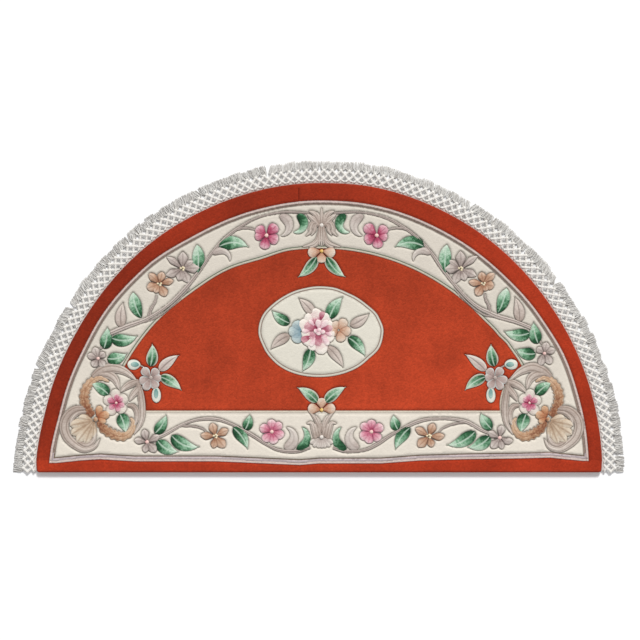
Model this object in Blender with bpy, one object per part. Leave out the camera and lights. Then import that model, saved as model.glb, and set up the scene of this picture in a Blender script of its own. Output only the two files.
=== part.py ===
"""Half-moon carved wool rug with a knotted net fringe sewn round its arc.

Metres, +Z up.  +X runs along the straight edge and +Y from the straight edge to the crown
of the arc.  The origin is on the floor, under the centre of the rug and its fringe.
"""
import math
import random

import bmesh
import bpy
from mathutils import Vector

# The pile rug: a cut pile on a woven ground, the straight edge being the rug's width.
RUG_WIDTH = 1.370
RUG_DEPTH = 0.700
RUG_THICKNESS = 0.015
EDGE_ROUNDING = 0.005
CORNER_ROUNDING = 0.006
ROUNDING_STEPS = 3

# The fringe: heading, three rows of knots and loose locks, measured outwards from the rug.
FRINGE_DEPTH = 0.062
FRINGE_PITCHES = 108
SEWN_GAP = 0.0003
HEADING_OUT = 0.0048
KNOT_ROWS_OUT = (0.0135, 0.0248, 0.0360)
CORD_HEIGHT = 0.0034
HEADING_HEIGHT = 0.0030
KNOT_HALF_WIDTH = 0.0021
KNOT_HALF_DEPTH = 0.0024

# The locks, two to a tassel: widths are shares of a pitch.
LOCK_OFFSET = 0.235
LOCK_MID_OUT = 0.0490
LOCK_MID_HALF_WIDTH = 0.19
LOCK_MID_LEAN = 0.5
LOCK_TIP_HALF_WIDTH = 0.10
LOCK_TIP_HEIGHT = 0.0016
LOCK_LENGTH_SPREAD = 0.005
LOCK_JITTER = 0.035
PARTING_STRENGTH = 0.55
PARTING_REACH = 3.0
PARTING_ANGLES = (39.0, 59.5, 100.6, 146.6, 159.4)
FRINGE_SEED = 7

# The carver's main lines: V-shaped cuts that bound the guard stripe, field and medallion.
GROOVE_RADIUS = 0.0030
GROOVE_LIFT = 0.0006
GUARD_OUTER = {"half_width": 0.6590, "crown": 0.6670, "base": 0.0290}
GUARD_INNER = {"half_width": 0.6470, "crown": 0.6550, "base": 0.0430}
FIELD_RADIUS = 0.5395
FIELD_BASE = 0.1505
ROUNDEL_CENTRE = Vector((0.5005, 0.1640))
ROUNDEL_RADIUS = 0.0800
ROUNDEL_STEPS = 12
MEDALLION_CENTRE = Vector((0.0035, 0.3410))
MEDALLION_RADII = (0.1530, 0.1140)
GROOVE_STEPS = 72

# How far the hand-knotted arc strays from a true half ellipse: angle in degrees, metres out.
# The lines inside it stray by this times a power of how near they lie to the rim.
STRAY_FADE = 4
UNEVENNESS = (
    (0.0, 0.000), (30.0, 0.000), (60.0, 0.003), (78.0, 0.004), (90.0, 0.001),
    (120.0, -0.004), (150.0, -0.009), (165.0, -0.006), (180.0, 0.002),
)
# How much further in the guard stripe lies than its own half ellipse: degrees, metres in.
GUARD_INSET = (
    (0.0, 0.0040), (15.0, 0.0030), (25.0, 0.0005), (35.0, 0.0040), (48.0, 0.0080),
    (63.0, 0.0080), (75.0, 0.0070), (90.0, 0.0065), (105.0, 0.0085), (118.0, 0.0100),
    (131.0, 0.0035), (143.0, 0.0015), (155.0, 0.0050), (167.0, 0.0060), (180.0, 0.0020),
)

STRAIGHT_EDGE_Y = -(RUG_DEPTH + FRINGE_DEPTH) / 2

WOOL_RED = (0.38, 0.045, 0.018, 1.0)
COTTON = (0.62, 0.60, 0.56, 1.0)


def clear_scene():
    for item in list(bpy.data.objects):
        bpy.data.objects.remove(item, do_unlink=True)


def new_collection(name):
    collection = bpy.data.collections.new(name)
    bpy.context.scene.collection.children.link(collection)
    return collection


def cloth_material(name, colour, roughness):
    material = bpy.data.materials.new(name)
    material.use_nodes = True
    shader = material.node_tree.nodes["Principled BSDF"]
    shader.inputs["Base Color"].default_value = colour
    shader.inputs["Roughness"].default_value = roughness
    shader.inputs["Metallic"].default_value = 0.0
    return material


def eased(table, angle):
    """A table's value at an angle in radians, a cosine easing from one row to the next."""
    degrees = math.degrees(angle)
    for (low, at_low), (high, at_high) in zip(table, table[1:]):
        if degrees <= high:
            share = (1 - math.cos(math.pi * (degrees - low) / (high - low))) / 2
            return at_low + (at_high - at_low) * share
    return table[-1][1]


def stray(angle):
    """How far the arc stands out of its half ellipse at an angle in radians."""
    return eased(UNEVENNESS, angle)


def arc_point(angle, half_width, crown, outwards=0.0):
    """A point of an elliptical arc about the middle of the straight edge."""
    on_arc = Vector((half_width * math.cos(angle), crown * math.sin(angle)))
    normal = Vector((math.cos(angle) / half_width, math.sin(angle) / crown)).normalized()
    return on_arc + normal * outwards + Vector((0.0, STRAIGHT_EDGE_Y))


def rug_outline():
    """The arc, one point to a fringe pitch, from the +X corner round to the -X corner."""
    steps = FRINGE_PITCHES
    return [
        arc_point(math.pi * k / steps, RUG_WIDTH / 2, RUG_DEPTH, stray(math.pi * k / steps))
        for k in range(steps + 1)
    ]


def half_moon(half_width, crown, base):
    """A smaller half moon inside the rug, its straight side base metres in from the edge."""
    start = math.asin(base / crown)
    turns = [start + (math.pi - 2 * start) * k / GROOVE_STEPS for k in range(GROOVE_STEPS + 1)]
    share = half_width / (RUG_WIDTH / 2)
    return [
        arc_point(t, half_width, crown, stray(t) * share ** STRAY_FADE - eased(GUARD_INSET, t))
        for t in turns
    ]


def oval(centre, radii, first=0.0, last=2 * math.pi, steps=GROOVE_STEPS):
    """Points round an oval from one angle towards another, the last one left out."""
    turns = [first + (last - first) * k / steps for k in range(steps)]
    middle = centre + Vector((0.0, STRAIGHT_EDGE_Y))
    return [middle + Vector((radii[0] * math.cos(t), radii[1] * math.sin(t))) for t in turns]


def field_outline():
    """The field: a round arc over a straight side, its corners cut round by the roundels."""
    reach = ROUNDEL_CENTRE.length
    opening = math.acos(
        (FIELD_RADIUS ** 2 + reach ** 2 - ROUNDEL_RADIUS ** 2) / (2 * FIELD_RADIUS * reach)
    )
    leaves = math.atan2(ROUNDEL_CENTRE.y, ROUNDEL_CENTRE.x) + opening
    crossing = FIELD_RADIUS * Vector((math.cos(leaves), math.sin(leaves))) - ROUNDEL_CENTRE
    top_of_roundel = math.atan2(crossing.y, crossing.x)
    foot_of_roundel = math.pi + math.asin((ROUNDEL_CENTRE.y - FIELD_BASE) / ROUNDEL_RADIUS)
    round_roundel = oval(
        ROUNDEL_CENTRE, (ROUNDEL_RADIUS, ROUNDEL_RADIUS),
        foot_of_roundel, top_of_roundel, ROUNDEL_STEPS,
    )
    to_crown = oval(
        Vector((0.0, 0.0)), (FIELD_RADIUS, FIELD_RADIUS),
        leaves, math.pi / 2, GROOVE_STEPS // 2,
    )
    right = round_roundel + to_crown
    crown = Vector((0.0, FIELD_RADIUS + STRAIGHT_EDGE_Y))
    return right + [crown] + [Vector((-p.x, p.y)) for p in reversed(right)]


def mesh_object(name, bm, collection, material=None):
    bmesh.ops.recalc_face_normals(bm, faces=bm.faces)
    mesh = bpy.data.meshes.new(name)
    bm.to_mesh(mesh)
    bm.free()
    item = bpy.data.objects.new(name, mesh)
    collection.objects.link(item)
    if material:
        mesh.materials.append(material)
    return item


def groove_cutter(name, points, collection):
    """A closed tube along the points: where it dips into the pile it cuts a V-shaped line."""
    curve = bpy.data.curves.new(name, "CURVE")
    curve.dimensions = "3D"
    curve.bevel_depth = GROOVE_RADIUS
    curve.bevel_resolution = 0
    spline = curve.splines.new("POLY")
    spline.points.add(len(points) - 1)
    for slot, point in zip(spline.points, points):
        slot.co = (point.x, point.y, RUG_THICKNESS + GROOVE_LIFT, 1.0)
    spline.use_cyclic_u = True
    tube = bpy.data.objects.new(name + "_line", curve)
    collection.objects.link(tube)
    bpy.context.view_layer.update()
    made_tube = tube.evaluated_get(bpy.context.evaluated_depsgraph_get())
    mesh = bpy.data.meshes.new_from_object(made_tube)
    bpy.data.objects.remove(tube, do_unlink=True)
    cutter = bpy.data.objects.new(name, mesh)
    collection.objects.link(cutter)
    cutter.hide_render = True
    cutter.display_type = "WIRE"
    return cutter


def pile_rug(collection, cutters, material):
    """The rug itself: a thick flat half moon with rounded pile edges and carved lines."""
    bm = bmesh.new()
    outline = [bm.verts.new((p.x, p.y, 0.0)) for p in rug_outline()]
    sole = bm.faces.new(outline)
    raised = bmesh.ops.extrude_face_region(bm, geom=[sole])["geom"]
    top = [v for v in raised if isinstance(v, bmesh.types.BMVert)]
    bmesh.ops.translate(bm, verts=top, vec=(0.0, 0.0, RUG_THICKNESS))
    ends = {outline[0], outline[-1]}
    upright = [e for v in ends for e in v.link_edges if e.other_vert(v).co.z > 0]
    bmesh.ops.bevel(
        bm, geom=upright, offset=CORNER_ROUNDING, segments=ROUNDING_STEPS, profile=0.5, affect="EDGES"
    )
    middle = RUG_THICKNESS / 2
    brim = [e for e in bm.edges if all(v.co.z > middle for v in e.verts)]
    bmesh.ops.bevel(
        bm, geom=brim, offset=EDGE_ROUNDING, segments=ROUNDING_STEPS, profile=0.5, affect="EDGES"
    )
    rug = mesh_object("pile_rug", bm, collection, material)
    lines = {
        "guard_outer_cut": half_moon(**GUARD_OUTER),
        "guard_inner_cut": half_moon(**GUARD_INNER),
        "field_cut": field_outline(),
        "medallion_cut": oval(MEDALLION_CENTRE, MEDALLION_RADII),
    }
    for name, points in lines.items():
        carve = rug.modifiers.new(name, "BOOLEAN")
        carve.operation = "DIFFERENCE"
        carve.object = groove_cutter(name, points, cutters)
    return rug


class NetPlan:
    """The fringe drawn flat: a place is a number of pitches round the arc and metres out."""

    def __init__(self):
        self.bm = bmesh.new()
        self.made = {}

    def at(self, pitches, out, height=0.0):
        key = (round(pitches, 5), round(out, 6), round(height, 6))
        if key not in self.made:
            angle = math.pi * pitches / FRINGE_PITCHES
            reach = stray(angle) + SEWN_GAP + out
            point = arc_point(angle, RUG_WIDTH / 2, RUG_DEPTH, reach)
            self.made[key] = self.bm.verts.new((point.x, point.y, height))
        return self.made[key]

    def face(self, *corners):
        self.bm.faces.new(corners)

    def cord(self, start, end, left, right):
        """A cord with its ridge from start to end and its two sides down on the floor."""
        self.face(start, end, left[1], left[0])
        self.face(end, start, right[0], right[1])
        self.face(left[0], left[1], right[1], right[0])


def pitch_share(metres):
    """A length round the arc as a share of one fringe pitch."""
    return metres * FRINGE_PITCHES / (math.pi * (RUG_WIDTH / 2 + RUG_DEPTH) / 2)


def parting(pitches):
    """How far the locks lean away from the places where the fringe has parted, in pitches."""
    lean = 0.0
    for degrees in PARTING_ANGLES:
        away = pitches - degrees / 180 * FRINGE_PITCHES
        lean += math.copysign(PARTING_STRENGTH, away) * math.exp(-abs(away) / PARTING_REACH)
    return lean


def build_heading(net, column, knot, side):
    """The solid heading between two columns of gaps, ending in the first row of knots."""
    row = KNOT_ROWS_OUT[0]
    left, right = column, column + 1
    crest = (net.at(left, 0, HEADING_HEIGHT), net.at(right, 0, HEADING_HEIGHT))
    foot = (net.at(left, 0), net.at(right, 0))
    hem = (net.at(left, HEADING_OUT), net.at(right, HEADING_OUT))
    corners = (net.at(left + 0.5 - side, row), net.at(right - 0.5 + side, row))
    net.face(crest[0], crest[1], foot[1], foot[0])
    net.face(crest[0], knot, crest[1])
    net.face(crest[0], hem[0], corners[0], knot)
    net.face(crest[1], knot, corners[1], hem[1])
    below = net.at(left + 0.5, row + KNOT_HALF_DEPTH)
    net.face(foot[0], foot[1], hem[1], corners[1], below, corners[0], hem[0])


def build_lock(net, knot, root, centre, mid, tip):
    """One loose lock: three sides, a bend at its middle and a blunt tip."""
    side = {"mid": LOCK_MID_HALF_WIDTH, "tip": LOCK_TIP_HALF_WIDTH}
    mid_left = net.at(mid[0] - side["mid"], mid[1])
    mid_right = net.at(mid[0] + side["mid"], mid[1])
    mid_ridge = net.at(mid[0], mid[1], CORD_HEIGHT)
    tip_left = net.at(tip[0] - side["tip"], tip[1])
    tip_right = net.at(tip[0] + side["tip"], tip[1])
    tip_ridge = net.at(tip[0], tip[1] - LOCK_TIP_HEIGHT, LOCK_TIP_HEIGHT)
    net.cord(knot, mid_ridge, (root, mid_left), (centre, mid_right))
    net.cord(mid_ridge, tip_ridge, (mid_left, tip_left), (mid_right, tip_right))
    net.face(tip_left, tip_ridge, tip_right)


def build_tassel(net, middle, knot, side, wander):
    """Two locks that hang from one knot of the last row."""
    row = KNOT_ROWS_OUT[2]
    fork = net.at(middle, row + 2 * KNOT_HALF_DEPTH)
    shoulders = (net.at(middle - side, row), net.at(middle + side, row))
    for hand, root in ((-1, shoulders[0]), (1, shoulders[1])):
        lean = parting(middle + hand * LOCK_OFFSET)
        mid_place = middle + hand * LOCK_OFFSET + lean * LOCK_MID_LEAN
        tip_place = middle + hand * LOCK_OFFSET + lean + wander.uniform(-1, 1) * LOCK_JITTER
        lowest, highest = LOCK_TIP_HALF_WIDTH, FRINGE_PITCHES - LOCK_TIP_HALF_WIDTH
        tip_place = min(max(tip_place, lowest), highest)
        tip_out = FRINGE_DEPTH - SEWN_GAP - wander.uniform(0, 1) * LOCK_LENGTH_SPREAD
        sides = (root, fork) if hand < 0 else (fork, root)
        build_lock(net, knot, *sides, (mid_place, LOCK_MID_OUT), (tip_place, tip_out))
    above = net.at(middle, row - KNOT_HALF_DEPTH)
    net.face(above, shoulders[0], fork, shoulders[1])


def net_fringe(collection, material):
    """The fringe: heading, two rows of open diamonds and a tassel under each last knot."""
    net = NetPlan()
    wander = random.Random(FRINGE_SEED)
    side = pitch_share(KNOT_HALF_WIDTH)
    first, second, third = KNOT_ROWS_OUT
    for column in range(FRINGE_PITCHES):
        middle = column + 0.5
        top_knot = net.at(middle, first, CORD_HEIGHT)
        last_knot = net.at(middle, third, CORD_HEIGHT)
        build_heading(net, column, top_knot, side)
        for hand, place in ((-1, column), (1, column + 1)):
            knot = net.at(place, second, CORD_HEIGHT)
            upper_outside = (
                net.at(middle + hand * side, first), net.at(place, second - KNOT_HALF_DEPTH)
            )
            upper_inside = (
                net.at(middle, first + KNOT_HALF_DEPTH), net.at(place - hand * side, second)
            )
            lower_outside = (
                net.at(place, second + KNOT_HALF_DEPTH), net.at(middle + hand * side, third)
            )
            lower_inside = (
                net.at(place - hand * side, second), net.at(middle, third - KNOT_HALF_DEPTH)
            )
            net.cord(top_knot, knot, upper_outside, upper_inside)
            net.cord(knot, last_knot, lower_outside, lower_inside)
        build_tassel(net, middle, last_knot, side, wander)
    for place in range(1, FRINGE_PITCHES):
        net.face(
            net.at(place, second - KNOT_HALF_DEPTH), net.at(place + side, second),
            net.at(place, second + KNOT_HALF_DEPTH), net.at(place - side, second),
        )
    for place, inwards in ((0, side), (FRINGE_PITCHES, -side)):
        close_net_end(net, place, inwards)
    return mesh_object("net_fringe", net.bm, collection, material)


def close_net_end(net, place, inwards):
    """The cut end of the fringe at a corner of the rug."""
    second = KNOT_ROWS_OUT[1]
    crest = net.at(place, 0, HEADING_HEIGHT)
    net.face(crest, net.at(place, 0), net.at(place, HEADING_OUT))
    upper = net.at(place, second - KNOT_HALF_DEPTH)
    lower = net.at(place, second + KNOT_HALF_DEPTH)
    net.face(upper, net.at(place, second, CORD_HEIGHT), lower)
    net.face(upper, net.at(place + inwards, second), lower)


def main():
    clear_scene()
    rug_parts = new_collection("half_moon_rug")
    cutters = new_collection("cutters")
    pile_rug(rug_parts, cutters, cloth_material("carved_wool_pile", WOOL_RED, 0.95))
    net_fringe(rug_parts, cloth_material("cotton_fringe", COTTON, 0.9))


main()
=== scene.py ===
# %% [markdown]
# # A half-moon carved wool rug
#
# The real rug is knotted in thick wool, about 12 mm of cut pile on a thin woven ground. When the
# knotting is done, a carver trims a groove along the edge of every flower, leaf and stripe, so
# that each one stands up rounded, like low relief in soft wool. A cotton net fringe is then sewn
# round the arc. We build it in that order: the pile with its grooves, the carved motifs that
# stand in it, and the fringe.

# %% Load the frame
import math
import random

import bpy
import numpy as np
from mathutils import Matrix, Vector, geometry, kdtree, noise


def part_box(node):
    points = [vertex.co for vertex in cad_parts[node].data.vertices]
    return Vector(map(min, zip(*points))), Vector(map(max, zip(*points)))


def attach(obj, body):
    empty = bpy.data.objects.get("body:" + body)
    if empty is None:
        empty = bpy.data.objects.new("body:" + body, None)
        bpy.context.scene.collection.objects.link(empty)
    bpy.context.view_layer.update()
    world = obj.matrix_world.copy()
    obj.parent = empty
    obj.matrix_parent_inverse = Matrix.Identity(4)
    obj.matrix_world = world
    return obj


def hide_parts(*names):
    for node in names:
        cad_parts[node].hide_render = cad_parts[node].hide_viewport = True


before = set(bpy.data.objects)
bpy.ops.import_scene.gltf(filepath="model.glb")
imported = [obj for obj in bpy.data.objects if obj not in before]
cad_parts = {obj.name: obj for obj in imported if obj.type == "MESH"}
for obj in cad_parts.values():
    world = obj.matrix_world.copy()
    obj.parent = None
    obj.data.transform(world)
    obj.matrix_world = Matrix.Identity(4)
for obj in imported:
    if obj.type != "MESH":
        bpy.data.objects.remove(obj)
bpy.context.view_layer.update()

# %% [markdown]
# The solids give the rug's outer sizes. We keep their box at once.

rug_low, rug_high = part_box("pile_rug")
MM = 0.001
PILE_TOP = rug_high.z
STRAIGHT_EDGE_Y = rug_low.y
print("rug box in mm", [round((b - a) / MM, 1) for a, b in zip(rug_low, rug_high)])

# %% [markdown]
# ## The outline
#
# The rug is half an ellipse on a straight edge. Hand knotting is never quite true, so the arc
# strays from the ellipse by a few millimetres. The table holds that stray, and a cosine eases
# from one row to the next. The solids were made from the same numbers, so both agree.

# %% Sizes of the rug
RUG_HALF_WIDTH = 0.685
RUG_DEPTH = 0.700
EDGE_ROUNDING = 0.005
CORNER_ROUNDING = 0.006
STRAY_FADE = 4
# angle in degrees, metres out
UNEVENNESS = (
    (0.0, 0.000), (30.0, 0.000), (60.0, 0.003), (78.0, 0.004), (90.0, 0.001),
    (120.0, -0.004), (150.0, -0.009), (165.0, -0.006), (180.0, 0.002),
)


def eased(table, angle):
    """A table's value at an angle in radians, a cosine easing from one row to the next."""
    degrees = math.degrees(angle)
    for (low, at_low), (high, at_high) in zip(table, table[1:]):
        if degrees <= high:
            share = (1 - math.cos(math.pi * (degrees - low) / (high - low))) / 2
            return at_low + (at_high - at_low) * share
    return table[-1][1]


def stray(angle):
    """How far the arc stands out of its half ellipse, in metres."""
    return eased(UNEVENNESS, angle)


def arc_point(angle, half_width, crown, outwards=0.0):
    """A point of an elliptical arc about the middle of the straight edge."""
    across, up = math.cos(angle) / half_width, math.sin(angle) / crown
    length = math.hypot(across, up)
    x = half_width * math.cos(angle) + across / length * outwards
    y = crown * math.sin(angle) + up / length * outwards
    return x, y + STRAIGHT_EDGE_Y


# %% [markdown]
# Every line of the rug is a closed loop of points: the rim, the guard stripe, the field and the
# medallion. A loop is resampled evenly, and a second loop beside it comes from pushing each
# point along its normal, with the push stretched at corners so that they stay sharp.

# %% Loops
LOOP_STEP = 3.0 * MM
# a sharp corner is pushed no further than 1 / 0.6 of the way
SHARPEST = 0.6


def evenly(points):
    """The closed loop again, with points a step apart and its corners kept."""
    out = []
    for (x0, y0), (x1, y1) in zip(points, points[1:] + points[:1]):
        pieces = max(1, round(math.hypot(x1 - x0, y1 - y0) / LOOP_STEP))
        out += [(x0 + (x1 - x0) * k / pieces, y0 + (y1 - y0) * k / pieces) for k in range(pieces)]
    return np.array(out)


def push(loop, inwards):
    """The loop moved inwards, for a loop that runs anticlockwise."""
    before = loop - np.roll(loop, 1, axis=0)
    after = np.roll(loop, -1, axis=0) - loop
    before /= np.linalg.norm(before, axis=1)[:, None]
    after /= np.linalg.norm(after, axis=1)[:, None]
    middle = before + after
    middle /= np.linalg.norm(middle, axis=1)[:, None]
    stretch = 1 / np.clip((middle * before).sum(axis=1), SHARPEST, 1.0)
    normal = np.stack([-middle[:, 1], middle[:, 0]], axis=1)
    return loop + normal * (inwards * stretch)[:, None]


# %% The rim
def rim_outline():
    """The rug's outline with its two corners rounded."""
    steps = 720
    foot = math.asin(CORNER_ROUNDING / RUG_DEPTH)
    turns = [foot + (math.pi - 2 * foot) * k / steps for k in range(steps + 1)]
    arc = [arc_point(t, RUG_HALF_WIDTH, RUG_DEPTH, stray(t)) for t in turns]
    corners = []
    for end, first, steps in ((arc[-1], 180.0, range(1, 5)), (arc[0], 270.0, range(4))):
        centre_x = end[0] + math.copysign(CORNER_ROUNDING, -end[0])
        centre_y = STRAIGHT_EDGE_Y + CORNER_ROUNDING
        sweep = [math.radians(first + 90.0 * k / 4) for k in steps]
        corners += [
            (centre_x + CORNER_ROUNDING * math.cos(t), centre_y + CORNER_ROUNDING * math.sin(t))
            for t in sweep
        ]
    return evenly(arc + corners)


rim = rim_outline()
print("rim loop:", len(rim), "points")

# %% [markdown]
# The guard stripe follows the rim. Round the arc its outer line runs 28 to 41 mm inside it: the
# weaver let it wander, and the photograph shows that well. One table holds how much further in
# than its own half ellipse it lies, and a second how it wavers along the straight edge.

# %% Sizes of the guard stripe, the field and the medallion
GUARD_OUTER = {"half_width": 0.6590, "crown": 0.6670, "base": 0.0290}
GUARD_INNER = {"half_width": 0.6470, "crown": 0.6568, "base": 0.0430}
# angle in degrees, metres in
GUARD_INSET = (
    (0.0, 0.0040), (15.0, 0.0030), (25.0, 0.0005), (35.0, 0.0040), (48.0, 0.0080),
    (63.0, 0.0080), (75.0, 0.0070), (90.0, 0.0065), (105.0, 0.0085), (118.0, 0.0100),
    (131.0, 0.0035), (143.0, 0.0015), (155.0, 0.0050), (167.0, 0.0060), (180.0, 0.0020),
)
# millimetres from the middle, millimetres up
GUARD_WAVE = (
    (-640, -6), (-582, 0), (-533, 3), (-450, -2), (-250, -2), (-47, -11), (0, -7), (150, -7),
    (244, 0), (350, 3), (487, 5), (560, 7), (640, -1),
)
# the wave dies out this far above the straight side
WAVE_FADE = 0.03
FIELD_RADIUS = 0.5395
FIELD_BASE = 0.1505
DRAWING_MIDDLE = 0.005
# the bites of the roundels, right and left
ROUNDEL_BITES = (
    {"out": 0.5380, "up": 0.1640, "radius": 0.1000}, {"out": 0.5245, "up": 0.1640, "radius": 0.0985},
)
MEDALLION = {"x": 0.0035, "up": 0.3410, "half_width": 0.1530, "half_depth": 0.1140}
wave_x, wave_y = np.array(GUARD_WAVE, float).T * MM
print("the guard wavers by mm:", wave_y.min() / MM, "to", wave_y.max() / MM)


# %% The guard stripe
def half_moon(half_width, crown, base):
    """A smaller half moon inside the rug, with the wandering straight side."""
    steps = 600
    start = math.asin(base / crown)
    turns = [start + (math.pi - 2 * start) * k / steps for k in range(steps + 1)]
    share = (half_width / RUG_HALF_WIDTH) ** STRAY_FADE
    arc = [
        arc_point(t, half_width, crown, stray(t) * share - eased(GUARD_INSET, t)) for t in turns
    ]
    left, right = arc[-1][0], arc[0][0]
    level = base + STRAIGHT_EDGE_Y
    straight = [(left + (right - left) * k / steps, level) for k in range(1, steps)]
    loop = evenly(arc + straight)
    near_base = np.clip(1 - (loop[:, 1] - level) / WAVE_FADE, 0, 1)
    loop[:, 1] += near_base * np.interp(loop[:, 0], wave_x, wave_y)
    return loop


guard_outer = half_moon(**GUARD_OUTER)
guard_inner = half_moon(**GUARD_INNER)
print("guard:", len(guard_outer), "and", len(guard_inner), "points")

# %% The field
# degrees round the field's arc from the right, millimetres it stands out of a true circle
FIELD_SWELL = (
    (0, 16), (28, 16), (34, 13), (38, 8), (44, 5), (60, 5), (97, 5), (106, -2), (114, 1),
    (126, -3), (140, 0), (180, 0),
)
# degrees from the crown to where the roundels bite into the arc
BITE_TURN = 63
BITE_STEPS, FIELD_ARC_STEPS = 40, 200


def field_radius(angle):
    return FIELD_RADIUS + eased(FIELD_SWELL, angle) * MM


def field_edge():
    """The red field: a round arc over a straight side, cut round by the two roundels."""
    out = []
    for side, bitten in zip((1, -1), ROUNDEL_BITES):
        centre = (bitten["out"], bitten["up"])
        reach = math.hypot(*centre)
        arc_radius = field_radius(math.pi / 2 - side * math.radians(BITE_TURN))
        opening = math.acos(
            (arc_radius ** 2 + reach ** 2 - bitten["radius"] ** 2) / (2 * arc_radius * reach)
        )
        leaves = math.atan2(centre[1], centre[0]) + opening
        top = math.atan2(
            arc_radius * math.sin(leaves) - centre[1],
            arc_radius * math.cos(leaves) - centre[0],
        )
        foot = math.pi + math.asin((centre[1] - FIELD_BASE) / bitten["radius"])
        bite = [foot + (top - foot) * k / BITE_STEPS for k in range(BITE_STEPS)]
        half = [
            (centre[0] + bitten["radius"] * math.cos(t),
             centre[1] + bitten["radius"] * math.sin(t)) for t in bite
        ]
        rest = math.pi / 2 - leaves
        arc = [leaves + rest * k / FIELD_ARC_STEPS for k in range(FIELD_ARC_STEPS + 1)]
        radii = [field_radius(math.pi / 2 - side * (math.pi / 2 - t)) for t in arc]
        half += [(r * math.cos(t), r * math.sin(t)) for r, t in zip(radii, arc)]
        half = [(side * x, y + STRAIGHT_EDGE_Y) for x, y in half]
        out = half if side > 0 else out + list(reversed(half))[1:]
    return evenly(out)


field = field_edge()
print("field:", len(field), "points")

# %% The medallion
# degrees round the oval, millimetres the carver cut inside it
OVAL_TRIM = (
    (0, 0), (20, 5), (40, 9), (60, 8), (80, 4.5), (100, 3.5), (120, 2), (140, 2), (160, 0),
    (180, 0), (200, 3.5), (220, 5), (240, 5), (270, 5), (300, 6), (320, 6), (342, -1), (360, 0),
)
OVAL_STEPS = 280


def medallion_edge():
    """The oval: an ellipse with a slow waver of the hand, less what the carver took off."""
    turns = [2 * math.pi * k / OVAL_STEPS for k in range(OVAL_STEPS)]
    fuller = [1 + 0.012 * math.sin(2 * t - 0.6) + 0.008 * math.sin(5 * t) for t in turns]
    trims = [eased(OVAL_TRIM, t) * MM for t in turns]
    return evenly([
        (MEDALLION["x"] + (MEDALLION["half_width"] * f - trim) * math.cos(t),
         MEDALLION["up"] + STRAIGHT_EDGE_Y + (MEDALLION["half_depth"] * f - trim) * math.sin(t))
        for t, f, trim in zip(turns, fuller, trims)
    ])


medallion = medallion_edge()
print("medallion:", len(medallion), "points")

# %% [markdown]
# ## Carved motifs
#
# The drawing is laid out in millimetres: x counts from the drawing's middle line and y from the
# straight edge. The two halves of the rug mirror each other, so one table row makes two motifs.

# %% Places on the drawing
HANDS = (1, -1)
wobble = random.Random(5)
# the right corner was drawn this many millimetres further out than the left one
RIGHT_DRIFT = 9.0
# the leaves beside it were drawn this many millimetres higher
RIGHT_RISE = 10.0
# and above it the arc's motifs sit so many degrees higher and millimetres further out
RIGHT_TURN = (0.0, 1.1, 1.4, 1.6, 0.0)
RIGHT_OUT = (0.0, 4.0, 3.0, 0.0, 0.0)
# between which places each of these sets in and dies out
DRIFT_X, DRIFT_UP = (230, 320, 470, 560), (200, 320)
RISE_X, RISE_UP = (280, 340, 428, 440), (110, 160)
TURN_DEGREES = (20, 27, 38, 42, 50)
TURN_RADIUS, TURN_UP = (535, 560), (250, 270)


def on_rug(x, y):
    """A place on the drawing, in millimetres, as metres in the frame."""
    drift = RIGHT_DRIFT * np.interp(x, DRIFT_X, (0, 1, 1, 0))
    rise = RIGHT_RISE * np.interp(x, RISE_X, (0, 1, 1, 0))
    x, y = x + drift * np.interp(y, DRIFT_UP, (1, 0)), y + rise * np.interp(y, RISE_UP, (1, 0))
    angle, radius = math.degrees(math.atan2(y, x)), math.hypot(x, y)
    in_border = np.interp(radius, TURN_RADIUS, (0, 1)) * np.interp(y, TURN_UP, (0, 1))
    angle += in_border * np.interp(angle, TURN_DEGREES, RIGHT_TURN)
    radius += in_border * np.interp(angle, TURN_DEGREES, RIGHT_OUT)
    x, y = radius * math.cos(math.radians(angle)), radius * math.sin(math.radians(angle))
    return np.array([x * MM + DRAWING_MIDDLE, y * MM + STRAIGHT_EDGE_Y])


# %% [markdown]
# A motif is a patch of pile that the carver has rounded: a strip along a middle line, with a
# width at each point of that line, crowned across, and with a wall down into the ground pile.
# We could paint them on a flat mesh, but then the light would pass over them as over a print.
# One function lays such a strip, and leaves, petals, stems and scrolls all come from it. Each
# vertex keeps how far it is along and across its own motif, because the wool is shaded that way.

# %% Sizes of a carved strip
ACROSS = np.array([-1.0, -0.93, -0.72, -0.42, -0.14, 0.0, 0.14, 0.42, 0.72, 0.93, 1.0])
CARVED_EDGE = 1.7 * MM
WALL_FOOT = 6.0 * MM
THINNEST = 0.45 * MM
# a strip this wide on each side of its line is as high as it gets
FULL_FROM = 4 * MM
CROWN_POWER = 2.4
# below the pile's top: where a cut starts to be painted darker, a painted shade, and how much deeper
# it is darkest
SHADED_BELOW, DARKEST_OVER = 0.6 * MM, 2.6 * MM
# the lines along a strip that the trough round it follows
FOLLOWED = (0, 2, 3, 5, 7, 8, 10)
KEPT = ("points", "faces", "place", "dye", "depth")
families = {}
carved_points = []
outlines = []
OUTLINE_ROWS = (0.5 * MM, 3.0 * MM)
dyes = random.Random(11)
print("points across a strip:", len(ACROSS))


# %% One carved strip of pile
def with_middles(rows):
    """The rows again, with the middle of each two between them."""
    out = np.repeat(rows, 2, axis=0)[:-1]
    out[1::2] = (rows[:-1] + rows[1:]) / 2
    return out


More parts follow.
